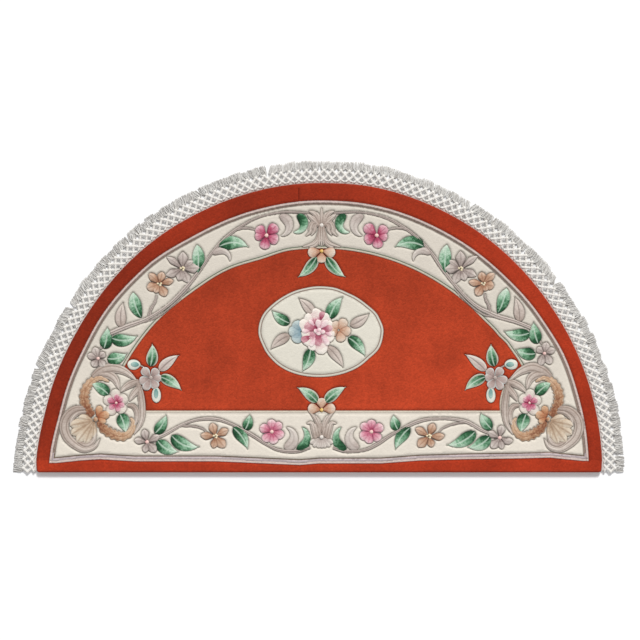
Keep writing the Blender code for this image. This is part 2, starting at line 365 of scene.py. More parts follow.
def lay_strip(family, line, half_widths, crown=2.2, ridges=None, lift=0.0):
    """Add one carved strip to a family of motifs, all in millimetres on the drawing."""
    store = families.setdefault(family, {kept: [] for kept in KEPT})
    middle = np.array([on_rug(*p) for p in line], float)
    along, across = len(middle), len(ACROSS)
    tangent = np.gradient(middle, axis=0)
    tangent /= np.linalg.norm(tangent, axis=1)[:, None]
    side = np.stack([-tangent[:, 1], tangent[:, 0]], axis=1)
    half = np.maximum(half_widths * MM, THINNEST)
    steps = np.concatenate([[0], np.cumsum(np.linalg.norm(np.diff(middle, axis=0), axis=1))])
    u = steps / steps[-1]
    spread = middle[:, None, :] + side[:, None, :] * (half[:, None] * ACROSS)[:, :, None]
    fullness = np.clip(half / FULL_FROM, 0.25, 1.0)
    height = crown * MM * (1 - np.abs(ACROSS) ** CROWN_POWER)[None, :] * fullness[:, None]
    if ridges is not None:
        height = height + ridges(u[:, None], ACROSS[None, :]) * fullness[:, None]
    top = PILE_TOP - CARVED_EDGE + lift * MM + height
    first = sum(len(p) for p in store["points"])
    grid = np.dstack([spread, top]).reshape(-1, 3)
    foot_right = np.column_stack([spread[:, 0], np.full(along, PILE_TOP - WALL_FOOT)])
    foot_left = np.column_stack([spread[:, -1], np.full(along, PILE_TOP - WALL_FOOT)])
    store["points"].append(np.vstack([grid, foot_right, foot_left]))
    v = (ACROSS + 1) / 2
    place = np.stack(np.meshgrid(u, v, indexing="ij"), axis=-1).reshape(-1, 2)
    edge = [np.column_stack([u, np.full(along, e)]) for e in (0.0, 1.0)]
    store["place"].append(np.vstack([place] + edge))
    store["dye"].append(np.full(len(grid) + 2 * along, dyes.random()))
    # the deeper a point, the darker its wool is painted: painted shade in the cut, darkest on the
    # walls
    depth = np.clip((PILE_TOP - grid[:, 2] - SHADED_BELOW) / DARKEST_OVER, 0, 1)
    store["depth"].append(np.concatenate([depth, np.ones(2 * along)]))
    close_by = with_middles(with_middles(np.stack([spread[:, j] for j in FOLLOWED])))
    carved_points.append(with_middles(close_by.transpose(1, 0, 2)).reshape(-1, 2))
    for out in OUTLINE_ROWS:
        outlines.extend(middle + side * (hand * (half[:, None] + out)) for hand in (-1, 1))

    def at(i, j):
        return first + i * across + j

    right, left = first + along * across, first + along * across + along
    faces = store["faces"]
    for i in range(along - 1):
        faces += [(at(i, j), at(i + 1, j), at(i + 1, j + 1), at(i, j + 1)) for j in range(across - 1)]
        last = across - 1
        faces.append((at(i, last), at(i + 1, last), left + i + 1, left + i))
        faces.append((at(i + 1, 0), at(i, 0), right + i, right + i + 1))
        faces.append((right + i, left + i, left + i + 1, right + i + 1))
    faces.append(tuple(at(0, j) for j in range(across)) + (left, right))
    far = along - 1
    faces.append(tuple(at(far, j) for j in reversed(range(across))) + (right + far, left + far))


# %% [markdown]
# A motif's middle line comes from a few places: a smooth curve through them for a stem or a
# scroll, and a bowed line from base to tip for a leaf or a petal.

# %% Curves
def smooth_line(places, steps):
    """A smooth curve through the places, with that many steps between each two."""
    knots = np.array(places, float)
    knots = np.vstack([2 * knots[0] - knots[1], knots, 2 * knots[-1] - knots[-2]])
    out = []
    for a, b, c, d in zip(knots, knots[1:], knots[2:], knots[3:]):
        for k in range(steps):
            t = k / steps
            out.append(
                0.5 * (2 * b + (c - a) * t + (2 * a - 5 * b + 4 * c - d) * t ** 2
                       + (3 * b - a - 3 * c + d) * t ** 3)
            )
    return np.array(out + [knots[-2]])


def bent_line(base, tip, bend, steps):
    """A bowed line from base to tip: bend is its bow as a share of its length, to the left."""
    base, tip = np.array(base, float), np.array(tip, float)
    run = tip - base
    elbow = (base + tip) / 2 + np.array([-run[1], run[0]]) * bend
    t = np.linspace(0, 1, steps + 1)[:, None]
    return (1 - t) ** 2 * base + 2 * t * (1 - t) * elbow + t ** 2 * tip


# %% [markdown]
# ### Leaves
#
# A leaf is widest a third of the way up and comes to a drawn-out point. The carver cuts a fine
# line down its middle rib. A bud is rounder, and a scroll leaf has several long folds in place
# of the one rib.

# %% Leaves, buds and folded scroll leaves
LEAF_STEPS = 18


def leaf_widths(half_width):
    u = np.linspace(0, 1, LEAF_STEPS + 1)
    body = np.sin(math.pi * np.clip(u / 0.94, 0, 1) ** 0.74) ** 0.78
    return half_width * 1.02 * body * (1 - 0.16 * u) + 0.5 + 1.4 * u * (1 - u)


def round_widths(half_width):
    u = np.linspace(0, 1, LEAF_STEPS + 1)
    return half_width * np.sin(math.pi * np.clip(u / 0.98, 0, 1) ** 1.12) ** 0.66 + 0.4


def bud_widths(half_width, steps=LEAF_STEPS):
    u = np.linspace(0, 1, steps + 1)
    return half_width * np.sqrt(np.clip(1 - (2 * u ** 1.15 - 1) ** 2, 0, 1))


def middle_rib(u, s):
    """A cut along the rib and shallower ones for the side veins."""
    rib = -1.3 * MM * np.exp(-(s / 0.16) ** 2) * np.sin(math.pi * np.clip(u * 1.1, 0, 1))
    veins = 0.5 + 0.5 * np.cos(2 * math.pi * (4.0 * u - 1.1 * np.abs(s)))
    return rib - 0.45 * MM * veins * (1 - np.abs(s) ** 3)


def folds(count):
    """Long rounded folds with grooves between them."""
    def ridge(u, s):
        return -0.9 * MM * (1 - np.abs(np.cos(count * math.pi * s / 2)) ** 0.8) * np.ones_like(u)
    return ridge


# %% One leaf, and a table of leaves
LEAF_SHAPES = {"leaf": leaf_widths, "round": round_widths, "bud": bud_widths}


def leaf(family, base, tip, half_width, bend=0.0, kind="leaf", lift=0.0):
    """One leaf, given in millimetres on the drawing."""
    line = bent_line(base, tip, bend, LEAF_STEPS)
    widths = LEAF_SHAPES[kind](half_width)
    ridges = None if kind == "bud" else middle_rib
    lay_strip(family, line, widths, ridges=ridges, lift=lift)


def leaves(rows):
    """Both hands of each row of a table of leaves."""
    for family, bx, by, tx, ty, half_width, bend, *kind in rows:
        for hand in HANDS:
            sway = wobble.uniform(-1, 1)
            leaf(family, (hand * bx, by), (hand * tx + sway, ty - sway), half_width,
                 hand * bend, *kind)


# %% [markdown]
# The border's leaves, read off the photograph and set down to the nearest few millimetres. First
# come those of the arc, from the crown down to the corner, and then those of the straight border,
# the field's two sprays and the palmettes.

# %% The table of leaves
# family, base x, base y, tip x, tip y, half width, bend, and the kind if it isn't a plain leaf
ARC_LEAVES = (
    ("leaf_green", 249, 549, 178, 548, 16, -0.30),
    ("leaf_green", 301, 484, 304, 554, 14.5, 0.08, "round"),
    ("leaf_green", 438, 376, 459, 438, 14.5, -0.14, "round"),
    ("leaf_mauve", 486, 353, 482, 413, 13, -0.14),
    ("leaf_green", 511, 327, 448, 332, 14.5, 0.26),
    ("leaf_green", 529, 301, 520, 352, 14.5, 0.10),
    ("leaf_green", 521, 277, 473, 288, 14.5, 0.22),
)
STRAIGHT_LEAVES = (
    ("leaf_green", 405, 95, 378, 140, 13, 0.16),
    ("leaf_green", 399, 78, 347, 50, 15, 0.26),
    ("leaf_green", 364, 90, 298, 63, 15.5, 0.28),
    ("leaf_green", 215, 109, 179, 56, 14, -0.18),
    ("leaf_green", 186, 104, 174, 140, 12, 0.14),
)
SPRAY_LEAVES = (
    ("leaf_on_red", 416, 258, 411, 312, 14, 0.10),
    ("leaf_mauve_on_red", 394, 247, 347, 286, 12, -0.10),
    ("leaf_on_red", 393, 233, 340, 199, 13, -0.14),
    ("bud_on_red", 402, 208, 402, 170, 11, 0.0, "bud"),
    ("bud_on_red", 440, 262, 473, 263, 12.5, 0.0, "bud"),
)
# base and tip of each bud's darker heart, half width
BUD_HEARTS = ((402, 205, 402, 179, 6.5), (443, 262, 464, 263, 7.5))
PALMETTE_LEAVES = (
    ("leaf_on_red", 12, 524, 58, 475, 13, -0.16),
    ("leaf_on_red", 9, 170, 60, 207, 13, 0.14),
)
leaves(ARC_LEAVES + STRAIGHT_LEAVES + SPRAY_LEAVES + PALMETTE_LEAVES)
for base_x, base_y, tip_x, tip_y, half_width in BUD_HEARTS:
    for hand in HANDS:
        base, tip = (hand * base_x, base_y), (hand * tip_x, tip_y)
        leaf("bud_heart", base, tip, half_width, kind="bud", lift=1.0)
print("leaves laid:", sum(len(store["points"]) for store in families.values()))

# %% [markdown]
# ### Crescents and curls
#
# Beside each rose-pink flower two broad crescents turn their backs to it, one mauve and one
# green, and a smaller one lies by the arc's stem. Their middle line is a circle's arc through
# three places.

# %% Crescents
# family, start, middle and end (each x, y), half width
CRESCENTS = (
    ("crescent_mauve", (102, 622), (79, 603), (98, 575), 11.5),
    ("crescent_green", (60, 624), (43, 606), (68, 584), 11),
    ("crescent_mauve", (263, 530), (243, 539), (223, 514), 8.5),
    ("crescent_mauve", (91, 61), (67, 85), (85, 109), 12.5),
    ("crescent_green", (61, 58), (35, 82), (47, 109), 11),
)


def circle_line(start, through, end, steps=18):
    """The arc of a circle from start to end through a third place."""
    (ax, ay), (bx, by), (cx, cy) = start, through, end
    twice = 2 * (ax * (by - cy) + bx * (cy - ay) + cx * (ay - by))
    a, b, c = ax * ax + ay * ay, bx * bx + by * by, cx * cx + cy * cy
    x = (a * (by - cy) + b * (cy - ay) + c * (ay - by)) / twice
    y = (a * (cx - bx) + b * (ax - cx) + c * (bx - ax)) / twice
    first, last = math.atan2(ay - y, ax - x), math.atan2(cy - y, cx - x)
    sweep = (last - first) % (2 * math.pi)
    if (math.atan2(by - y, bx - x) - first) % (2 * math.pi) > sweep:
        sweep -= 2 * math.pi
    turns = first + sweep * np.linspace(0, 1, steps + 1)
    reach = math.hypot(ax - x, ay - y)
    return np.column_stack([x + reach * np.cos(turns), y + reach * np.sin(turns)])


def crescent(family, places, half_width):
    """Blunt where it starts and drawn out where it ends."""
    line = circle_line(*places)
    u = np.linspace(0, 1, len(line))
    blunt = np.sqrt(np.clip(1 - (1 - np.clip(u / 0.32, 0, 1)) ** 2, 0, 1))
    widths = half_width * np.where(u < 0.32, 0.15 + 0.85 * blunt, (1 - (u - 0.32) / 0.68) ** 0.62)
    lay_strip(family, line, widths)


for family, start, middle, end, half_width in CRESCENTS:
    for hand in HANDS:
        crescent(family, [(hand * x, y) for x, y in (start, middle, end)], half_width)
print("crescents:", len(HANDS) * len(CRESCENTS))

# %% [markdown]
# ### Stems
#
# Mauve stems run out to both hands from each palmette: from the upper one along the arc down to
# the roundel, and from the lower one along the straight border. Each is a double strand with a
# groove between.

# %% Stems and twigs
# places along the stem (x, y), half width at its start and at its end
ARC_STEM = (
    ((30, 630), (62, 632), (97, 632), (153, 620), (202, 594), (239, 565), (267, 533), (292, 497),
     (328, 451), (372, 407), (425, 373), (476, 354), (512, 339)), 1.8, 5.0,
)
TWIGS = (
    ARC_STEM,
    (((207, 591), (188, 594), (170, 592), (155, 587)), 3.0, 1.4),
    (((420, 377), (415, 396), (405, 414), (401, 430)), 3.6, 2.0),
    (((452, 362), (404, 375), (360, 408), (322, 446)), 2.0, 1.4),
    (((512, 339), (528, 316), (537, 300)), 3.2, 2.0),
    (((29, 60), (61, 51), (104, 54), (136, 69), (160, 85), (187, 101), (221, 118), (255, 129),
      (297, 129), (338, 116), (382, 92), (404, 84)), 3.4, 3.4),
    (((337, 113), (312, 112), (290, 106), (280, 98)), 2.4, 1.4),
    (((401, 226), (401, 205)), 2.0, 1.6),
    (((430, 254), (444, 262)), 2.0, 1.6),
)


def stem_ridges(u, s):
    return -1.5 * MM * np.exp(-((s - 0.1) / 0.2) ** 2) * np.ones_like(u)


def stem(places, start_width, end_width, hand):
    line = smooth_line([(hand * x, y) for x, y in places], 7)
    u = np.linspace(0, 1, len(line))
    swell = 1 + 0.16 * np.sin(u * 23.0 + hand)
    widths = (start_width + (end_width - start_width) * u) * swell
    lay_strip("stem_mauve", line, widths, ridges=stem_ridges, lift=-0.4)


for places, start_width, end_width in TWIGS:
    for hand in HANDS:
        stem(places, start_width, end_width, hand)
print("stems and twigs:", len(HANDS) * len(TWIGS))

# %% [markdown]
# ### Flowers
#
# A flower is a ring of petals round a small boss. The petals are wider towards their round
# ends, and every second one stands a little higher, so that each cuts a clean edge on the next.

# %% Petals
PETAL_STEPS = 11


def petal_widths(half_width, point):
    """point is 0 for a round end and 1 for a sharp one."""
    u = np.linspace(0, 1, PETAL_STEPS + 1) ** 0.8
    rising = 0.26 + 0.74 * np.sin(math.pi / 2 * np.clip(u / 0.62, 0, 1)) ** 1.2
    falling = np.sqrt(np.clip(1 - (np.clip(u - 0.62, 0, 1) / 0.38) ** 2, 0, 1))
    sharp = 1 - np.clip(u - 0.62, 0, 1) / 0.38
    return half_width * rising * (falling * (1 - point) + sharp * point)


def petal_ridges(u, s):
    """A hollow along the petal, two pleats beside it and a heart lower than the tips."""
    pleats = np.exp(-((np.abs(s) - 0.5) / 0.16) ** 2) * np.clip(1.2 * u, 0, 1)
    return -0.9 * MM * np.exp(-(s / 0.3) ** 2) * (1 - u) - 0.5 * MM * pleats - 0.9 * MM * (1 - u) ** 2


def petal(family, centre, turn, inner, outer, half_width, point=0.0, bend=0.0, lift=0.0):
    """One petal, pointing at turn degrees from its flower's centre."""
    way = np.array([math.cos(math.radians(turn)), math.sin(math.radians(turn))])
    centre = np.array(centre)
    line = bent_line(centre + way * inner, centre + way * outer, bend, PETAL_STEPS)
    even = np.linspace(0, 1, PETAL_STEPS + 1)[:, None]
    run = line[-1] - line[0]
    line = line[0] + run * even ** 0.8 + (line - (line[0] + run * even))
    lay_strip(family, line, petal_widths(half_width, point), 2.4, petal_ridges, lift)


# %% Bosses and whole flowers
# a flower's eye may be a few dots: the half sizes of their ring, and a dot's radius
DOT_RING, DOT_RADIUS = (4.4, 3.6), 2.7


def boss(family, centre, radius, lift=1.2):
    """The small raised eye of a flower."""
    x, y = centre
    line = bent_line((x - radius, y), (x + radius, y), 0.0, 8)
    lay_strip(family, line, bud_widths(radius, 8), lift=lift)


def flower(family, eye, centre, radius, petals, hand=1, point=0.0, dots=1):
    """petals holds a turn in degrees, a reach and a half width as shares of the radius."""
    for k, (turn, reach, width) in enumerate(petals):
        angle = (turn if hand > 0 else 180 - turn) + wobble.uniform(-4, 4)
        reach *= 1 + wobble.uniform(-0.05, 0.05)
        petal(family, centre, angle, radius * 0.12, radius * reach, radius * width, point,
              wobble.uniform(-0.08, 0.08), 0.6 * (k % 2) + 0.3 * (k % 3))
    if dots == 1:
        boss(eye, centre, radius * 0.15)
    for k in range(dots if dots > 1 else 0):
        turn = 2.4 * k + 0.4
        x, y = DOT_RING[0] * math.cos(turn), DOT_RING[1] * math.sin(turn)
        boss(eye, (centre[0] + x, centre[1] + y), DOT_RADIUS)


# %% [markdown]
# The flowers of both borders and of the field's sprays. No two petals of a flower are alike:
# the large mauve one of the arc is a star of seven petals, the rose one has five broad lobes.

# %% The table of flowers
# turn in degrees on the right half, reach and half width as shares of the radius
STAR = (
    (94, 1.0, 0.31), (35, 1.2, 0.20), (-24, 1.04, 0.25), (-72, 0.78, 0.26), (-114, 0.92, 0.27),
    (177, 0.98, 0.29), (143, 0.82, 0.20),
)
TATTERED = (
    (104, 0.86, 0.30), (42, 1.05, 0.27), (-18, 0.90, 0.34), (-62, 0.70, 0.26),
    (-118, 1.0, 0.33), (170, 1.02, 0.25),
)
FIVE_POINTED = (
    (76, 1.0, 0.32), (151, 1.06, 0.28), (226, 1.04, 0.34), (282, 0.82, 0.27), (3, 1.02, 0.28),
)
ROSE = (
    (135, 1.10, 0.42), (45, 0.98, 0.38), (-8, 0.84, 0.32), (275, 1.0, 0.38), (204, 1.0, 0.40),
)
FULL_ROSE = (
    (90, 0.98, 0.36), (140, 0.96, 0.34), (205, 1.02, 0.38), (256, 1.0, 0.36), (-46, 1.0, 0.36),
    (24, 1.04, 0.37),
)
WIDE = (
    (140, 0.80, 0.34), (72, 1.02, 0.36), (22, 1.02, 0.33), (-55, 0.86, 0.36), (237, 0.88, 0.36),
)
LOBED = (
    (-16, 1.04, 0.36), (-66, 1.12, 0.34), (238, 0.98, 0.36), (182, 0.86, 0.32), (124, 0.94, 0.36),
    (52, 1.0, 0.36),
)
# family, eye, x, y, radius, petals, point, dots in the eye
FLOWERS = (
    ("petal_rose", "eye_blush", 134, 576, 33, ROSE, 0.0, 1),
    ("petal_mauve", "eye_cream", 338, 495, 41, STAR, 0.7, 4),
    ("petal_brown", "eye_cream", 394, 458, 34, TATTERED, 0.35, 3),
    ("petal_mauve", "eye_blush", 543, 277, 27, WIDE, 0.3, 1),
    ("petal_mauve", "eye_blush", 424, 74, 31, FIVE_POINTED, 0.4, 1),
    ("petal_brown", "eye_cream", 258, 88, 34, FIVE_POINTED, 0.45, 4),
    ("petal_pink", "eye_blush", 121, 99, 31, FULL_ROSE, 0.05, 1),
    ("petal_pale", "stem_mauve", 415, 230, 30, LOBED, 0.0, 1),
)
for family, eye, x, y, radius, petals, point, dots in FLOWERS:
    for hand in HANDS:
        flower(family, eye, (hand * x, y), radius, petals, hand, point, dots)
print("flowers:", len(HANDS) * len(FLOWERS))

# %% [markdown]
# ### The palmettes
#
# A palmette stands in the middle of each border: a sheaf of folded acanthus leaves, with a
# three-petalled blossom and a pair of leaves that lean out over the red field.

# %% The sheaves of the palmettes
# half width, places (x, y) from the middle line and the straight edge
TOP_SHEAF = (
    (5.5, ((5, 587), (10, 566), (22, 555), (46, 548))),
    (4.5, ((5, 576), (9, 560), (17, 551), (30, 547))),
    (4.0, ((4, 600), (5, 580), (5, 552))),
    (6.0, ((8, 607), (21, 606), (27, 594), (28, 584), (38, 574))),
    (5.0, ((6, 602), (15, 600), (17, 588), (25, 576))),
    (6.5, ((6, 600), (16, 611), (26, 620), (35, 628))),
    (6.5, ((5, 606), (11, 620), (19, 630), (31, 635))),
    (4.0, ((4, 608), (7, 622), (12, 633))),
)
FOOT_SHEAF = (
    (5.5, ((3, 98), (9, 118), (17, 133), (29, 147))),
    (4.5, ((2, 102), (6, 122), (15, 140))),
    (6.0, ((15, 82), (19, 102), (24, 119), (36, 119))),
    (4.5, ((9, 86), (12, 102), (16, 114), (24, 118))),
    (4.0, ((3, 88), (6, 104), (9, 116))),
)
# turn in degrees, reach in millimetres
FOOT_LOBES = ((-28, 32), (-50, 31), (-72, 28), (-90, 27), (-108, 28), (-130, 31), (-152, 32))


# %% Two palmettes
def scroll(family, places, half_width, count, hand, blunt=0.06, lift=0.0):
    """A folded strip that curls along its places, drawn out at its far end."""
    line = smooth_line([(hand * x, y) for x, y in places], 7)
    u = np.linspace(0, 1, len(line))
    widths = half_width * np.sin(math.pi * np.clip(blunt + (1 - blunt) * u, 0, 1) ** 0.8) ** 0.6
    lay_strip(family, line, widths, ridges=folds(count), lift=lift)


for sheaf in (TOP_SHEAF, FOOT_SHEAF):
    for k, (half_width, places) in enumerate(sheaf):
        for hand in HANDS:
            scroll("scroll_mauve", places, half_width, 2, hand, 0.12, 0.25 * (k % 3))
scroll("scroll_mauve", ((0, 606), (0, 622), (0, 643)), 5.0, 2, 1, 0.3, 0.6)
scroll("scroll_mauve", ((0, 598), (0, 575), (0, 550)), 4.5, 2, 1, 0.3, 0.5)
for turn, reach in FOOT_LOBES:
    petal("crescent_mauve", (0, 86), turn, 5, reach, 6.2, lift=-0.3)
boss("scroll_pale", (0, 601), 5.0, 1.6)
boss("scroll_pale", (0, 86), 5.0, 1.6)
for centre, way in (((0, 538), -1), ((0, 152), 1)):
    for turn, reach in ((8, 34), (172, 34), (90, 29)):
        petal("petal_peach", centre, way * turn, 5, reach, 12.5, lift=0.6)
    boss("eye_gold", centre, 4.5)

# %% [markdown]
# ### The roundels
#
# The corner roundels are the busiest part: mauve scrolls round the outside, two brown plumes
# inside them, and in the middle a rose flower with cream outer petals between two green leaves.
# Beside it the scrolls of the rug's corner cup a fan of peach leaves and an amber blossom.

# %% The tables of a roundel's scrolls
# half width, folds, places (x, y)
ROUNDEL_SCROLLS = (
    (12.5, 3, ((556, 232), (533, 248), (506, 253), (478, 245), (450, 224))),
    (10.5, 2, ((541, 239), (519, 238), (502, 226), (492, 202))),
    (9.0, 3, ((444, 222), (460, 216), (476, 207), (489, 195))),
    (8.5, 3, ((440, 212), (449, 199), (459, 187), (467, 173))),
    (8.5, 3, ((448, 222), (440, 190), (436, 152), (440, 120), (456, 92))),
    (6.5, 2, ((471, 163), (457, 160), (449, 146), (450, 126), (460, 107))),
    (11.5, 3, ((574, 156), (600, 152), (619, 135), (626, 111), (618, 85), (598, 66), (577, 56),
               (553, 62), (539, 82))),
    (7.0, 2, ((592, 74), (573, 66), (556, 75), (548, 97))),
    (6.0, 2, ((570, 147), (590, 146), (606, 132), (611, 112))),
)
# half width, number of barbs, places (x, y)
PLUMES = (
    (11.5, 12, ((556, 138), (569, 154), (577, 178), (573, 202), (559, 221), (540, 230), (517, 221))),
    (11.5, 10, ((541, 125), (530, 107), (514, 96), (497, 89), (480, 88), (464, 99), (457, 118),
                (464, 133))),
)


# %% The scrolls of a roundel
def barbs(count):
    """Cuts that slant out from a middle rib, as in a feather."""
    def height(u, s):
        cuts = (0.5 + 0.5 * np.cos(2 * math.pi * (count * u + 0.55 * np.abs(s)))) ** 2
        return -1.2 * MM * cuts * np.abs(s) ** 0.5 - 0.9 * MM * np.exp(-(s / 0.14) ** 2)
    return height


def plume(places, half_width, count, hand):
    """A curling strip cut like a feather, with a lobed edge."""
    line = smooth_line([(hand * x, y) for x, y in places], 12)
    u = np.linspace(0, 1, len(line))
    widths = half_width * np.sin(math.pi * np.clip(0.14 + 0.84 * u, 0, 1) ** 0.8) ** 0.6
    widths *= 1 + 0.14 * np.cos(2 * math.pi * (count * u + 0.5))
    lay_strip("scroll_brown", line, widths, ridges=barbs(count))


for half_width, count, places in ROUNDEL_SCROLLS:
    for hand in HANDS:
        scroll("scroll_mauve", places, half_width, count, hand)
for half_width, count, places in PLUMES:
    for hand in HANDS:
        plume(places, half_width, count, hand)
print("roundel scrolls:", len(HANDS) * (len(ROUNDEL_SCROLLS) + len(PLUMES)))

# %% The blossoms of a roundel
# family, x, y, turn, reach, half width, lift
ROUNDEL_PETALS = (
    ("scroll_peach", 556, 126, 12, 36, 11.0, 0.2), ("scroll_peach", 556, 126, -12, 56, 12.5, 0.7),
    ("scroll_peach", 556, 125, -32, 62, 12.5, 0.3), ("scroll_peach", 555, 124, -52, 64, 12.5, 0.7),
    ("scroll_peach", 554, 124, -69, 58, 11.0, 0.2), ("scroll_peach", 553, 124, -86, 40, 8.0, 0.0),
    ("petal_cream", 499, 169, 20, 33, 13.0, -0.6), ("petal_cream", 499, 169, 85, 34, 12.0, -0.5),
    ("petal_cream", 499, 169, 150, 31, 13.0, -0.6), ("petal_cream", 499, 169, 228, 31, 13.0, -0.4),
    ("petal_cream", 499, 169, 305, 34, 13.0, -0.6),
    ("petal_amber", 546, 136, 108, 27, 8.5, 1.0), ("petal_amber", 546, 136, 170, 31, 10.0, 1.3),
    ("petal_amber", 545, 134, 214, 24, 7.5, 1.0),
)
ROUNDEL_LEAVES = (
    ("leaf_green", 517, 189, 562, 217, 13, 0.14),
    ("leaf_green", 490, 142, 476, 96, 15, -0.10),
)
leaves(ROUNDEL_LEAVES)
for family, x, y, turn, reach, half_width, lift in ROUNDEL_PETALS:
    for hand in HANDS:
        way = turn if hand > 0 else 180 - turn
        petal(family, (hand * x, y), way, 1, reach, half_width, lift=lift)
for hand in HANDS:
    flower("petal_rose", "eye_blush", (hand * 499, 169), 22, FULL_ROSE, hand, 0.15)
    boss("scroll_brown", (hand * 549, 129), 5.5)
print("roundel petals:", len(HANDS) * len(ROUNDEL_PETALS))

# %% [markdown]
# ### The medallion's bouquet
#
# In the oval a full-blown peony lies between a blue and a peach blossom, with eight leaves.
# The peony is taller than wide: pale outer petals, deep rose hearts that show between them, and
# small white petals over those, round a white bud in the middle.

# %% The bouquet
# family, base x, base y, tip x, tip y, half width, bend, from the medallion's centre
BOUQUET_LEAVES = (
    ("leaf_mauve", -18, 44, -54, 82, 12, -0.08), ("leaf_green", 20, 32, 53, 85, 15, 0.16),
    ("leaf_green", -76, 22, -119, 52, 12, 0.14), ("leaf_mauve", -76, -8, -122, -42, 12, -0.16),
    ("leaf_green", -25, -40, -45, -95, 14, 0.14), ("leaf_mauve", 16, -36, 54, -86, 12, 0.12),
    ("leaf_mauve", 71, 16, 117, 45, 12, -0.12), ("leaf_green", 66, -13, 107, -58, 13, 0.18),
)
CENTRE = np.array([MEDALLION["x"] - DRAWING_MIDDLE, MEDALLION["up"]]) / MM
for family, bx, by, tx, ty, half_width, bend in BOUQUET_LEAVES:
    leaf(family, CENTRE + (bx, by), CENTRE + (tx, ty), half_width, bend)
for turn, reach in ((122, 30), (178, 31), (236, 31)):
    petal("petal_blue", CENTRE + (-48, 1), turn, 2, reach, 13.0, lift=0.2)
for turn, reach in ((58, 31), (-8, 30), (-74, 30), (128, 24), (196, 18)):
    petal("petal_peach", CENTRE + (43, 5), turn, 3, reach, 12.0, 0.05, lift=0.2)

# %% The peony
PEONY = CENTRE + (-5, 5)
# turn, inner and outer reach, half width and lift, from the outer petals to the heart
PEONY_PETALS = {
    "petal_peony": (
        (98, 10, 54, 17, 0.3), (132, 10, 50, 15, 0.0), (158, 10, 52, 16, 0.5),
        (190, 10, 44, 14, 0.1), (222, 10, 50, 16, 0.5), (252, 10, 54, 14, 0.0),
        (280, 10, 60, 17, 0.6), (318, 10, 42, 15, 0.1), (350, 10, 40, 14, 0.5),
        (28, 10, 38, 14, 0.0), (64, 10, 46, 15, 0.4),
    ),
    "petal_heart": (
        (80, 24, 46, 9.5, 1.0), (160, 6, 38, 14, 1.2), (219, 24, 50, 12, 1.0),
        (271, 6, 40, 12, 1.3), (10, 8, 34, 11, 1.1), (116, 14, 32, 7, 1.0),
    ),
    "petal_white": (
        (138, 16, 34, 6.0, 1.9), (184, 22, 42, 6.5, 1.8), (243, 20, 46, 6.5, 1.9),
        (300, 16, 44, 7.5, 1.7), (340, 18, 34, 6.0, 1.9), (48, 6, 32, 8.0, 1.7),
        (98, 3, 26, 7.5, 2.0), (195, 1, 13, 6, 2.1), (265, 1, 13, 6, 2.2), (330, 2, 16, 6, 2.1),
    ),
}
for family, rows in PEONY_PETALS.items():
    for turn, inner, outer, half_width, lift in rows:
        sway = wobble.uniform(-0.15, 0.15)
        petal(family, PEONY, turn, inner, outer, half_width, 0.05, sway, lift)
boss("petal_white", PEONY, 6.0, 2.2)
print("motif families:", {name: len(store["points"]) for name, store in families.items()})

# %% [markdown]
# ## The ground pile
#
# The rest of the pile is one closed mesh: a top that dips into every carved groove, a rounded
# side, the woven ground's edge and a sole. The top has to follow many crossing lines, so we
# scatter points, closer together where there is carving, and let Blender join them into
# triangles that keep the lines. Each triangle then takes the wool of the region it lies in.

# %% Rows of points along the lines
# name, loop, millimetres inwards, whether the wool changes colour there
LINE_ROWS = (
    ("guard_outer", guard_outer, 0.0, True), ("guard_outer", guard_outer, -3.2, False),
    ("guard_outer", guard_outer, 2.8, False), ("guard_split", guard_outer, 5.8, True),
    ("guard_inner", guard_inner, 0.0, True), ("guard_edge", guard_inner, -2.6, True),
    ("guard_inner", guard_inner, 3.2, False),
    ("field", field, 0.0, True), ("field", field, 3.4, False), ("field", field, -2.2, False),
    ("line_inner", field, -4.4, True), ("line_outer", field, -6.8, True),
    ("medallion", medallion, 0.0, True), ("medallion", medallion, -3.4, False),
    ("medallion", medallion, 2.4, False), ("oval_inner", medallion, 4.8, True),
    ("oval_outer", medallion, 7.2, True),
)
rim_top = push(rim, EDGE_ROUNDING)
rows = [rim_top]
edges = [(k, (k + 1) % len(rim_top)) for k in range(len(rim_top))]
changes = {}
total = len(rim_top)
for name, loop, inwards, is_change in LINE_ROWS:
    row = push(loop, inwards * MM)
    if is_change:
        changes[name] = row
        edges += [(total + k, total + (k + 1) % len(row)) for k in range(len(row))]
    rows.append(row)
    total += len(row)
rows = np.vstack(rows)
print("points on lines:", len(rows))

# %% [markdown]
# The scattered points lie on a honeycomb. Its step is 2.6 mm where there is carving and 5.2 mm
# on plain ground, and a point too near a line's own point is left out. A short split in the
# pile crosses the rim just left of the crown, so three rows of points wait for it there.

# %% Distances and regions
FINE_STEP = 2.6 * MM
CLEAR = 1.9 * MM
SEAM_X = -0.0503
SEAM_UP = (0.655, 0.690)
SEAM_POINTS = 22
SEAM_ROWS = (-2.0, 0.0, 2.0)
# outline points are thinned to one in a cell of this size, and none lies nearer than these
OUTLINE_CELL = 1.5 * MM
CLEAR_OF_MOTIF, CLEAR_OF_LINE = 0.3 * MM, 1.0 * MM
# the fine honeycomb reaches this far from a motif, and stays this far off its wall
FINE_REACH, FINE_CLEAR = 9 * MM, 0.8 * MM


def tree_of(points):
    tree = kdtree.KDTree(len(points))
    for k, (x, y) in enumerate(points):
        tree.insert((x, y, 0.0), k)
    tree.balance()
    return tree


def distances(tree, points):
    return np.array([tree.find((x, y, 0.0))[2] for x, y in points])


def inside(loop, points, centre):
    """Whether each point lies in a loop that can all be seen from its centre."""
    turns = np.arctan2(loop[:, 1] - centre[1], loop[:, 0] - centre[0])
    reach = np.hypot(loop[:, 0] - centre[0], loop[:, 1] - centre[1])
    order = np.argsort(turns)
    away = points - centre
    bearing = np.arctan2(away[:, 1], away[:, 0])
    limit = np.interp(bearing, turns[order], reach[order], period=2 * math.pi)
    return np.hypot(away[:, 0], away[:, 1]) < limit


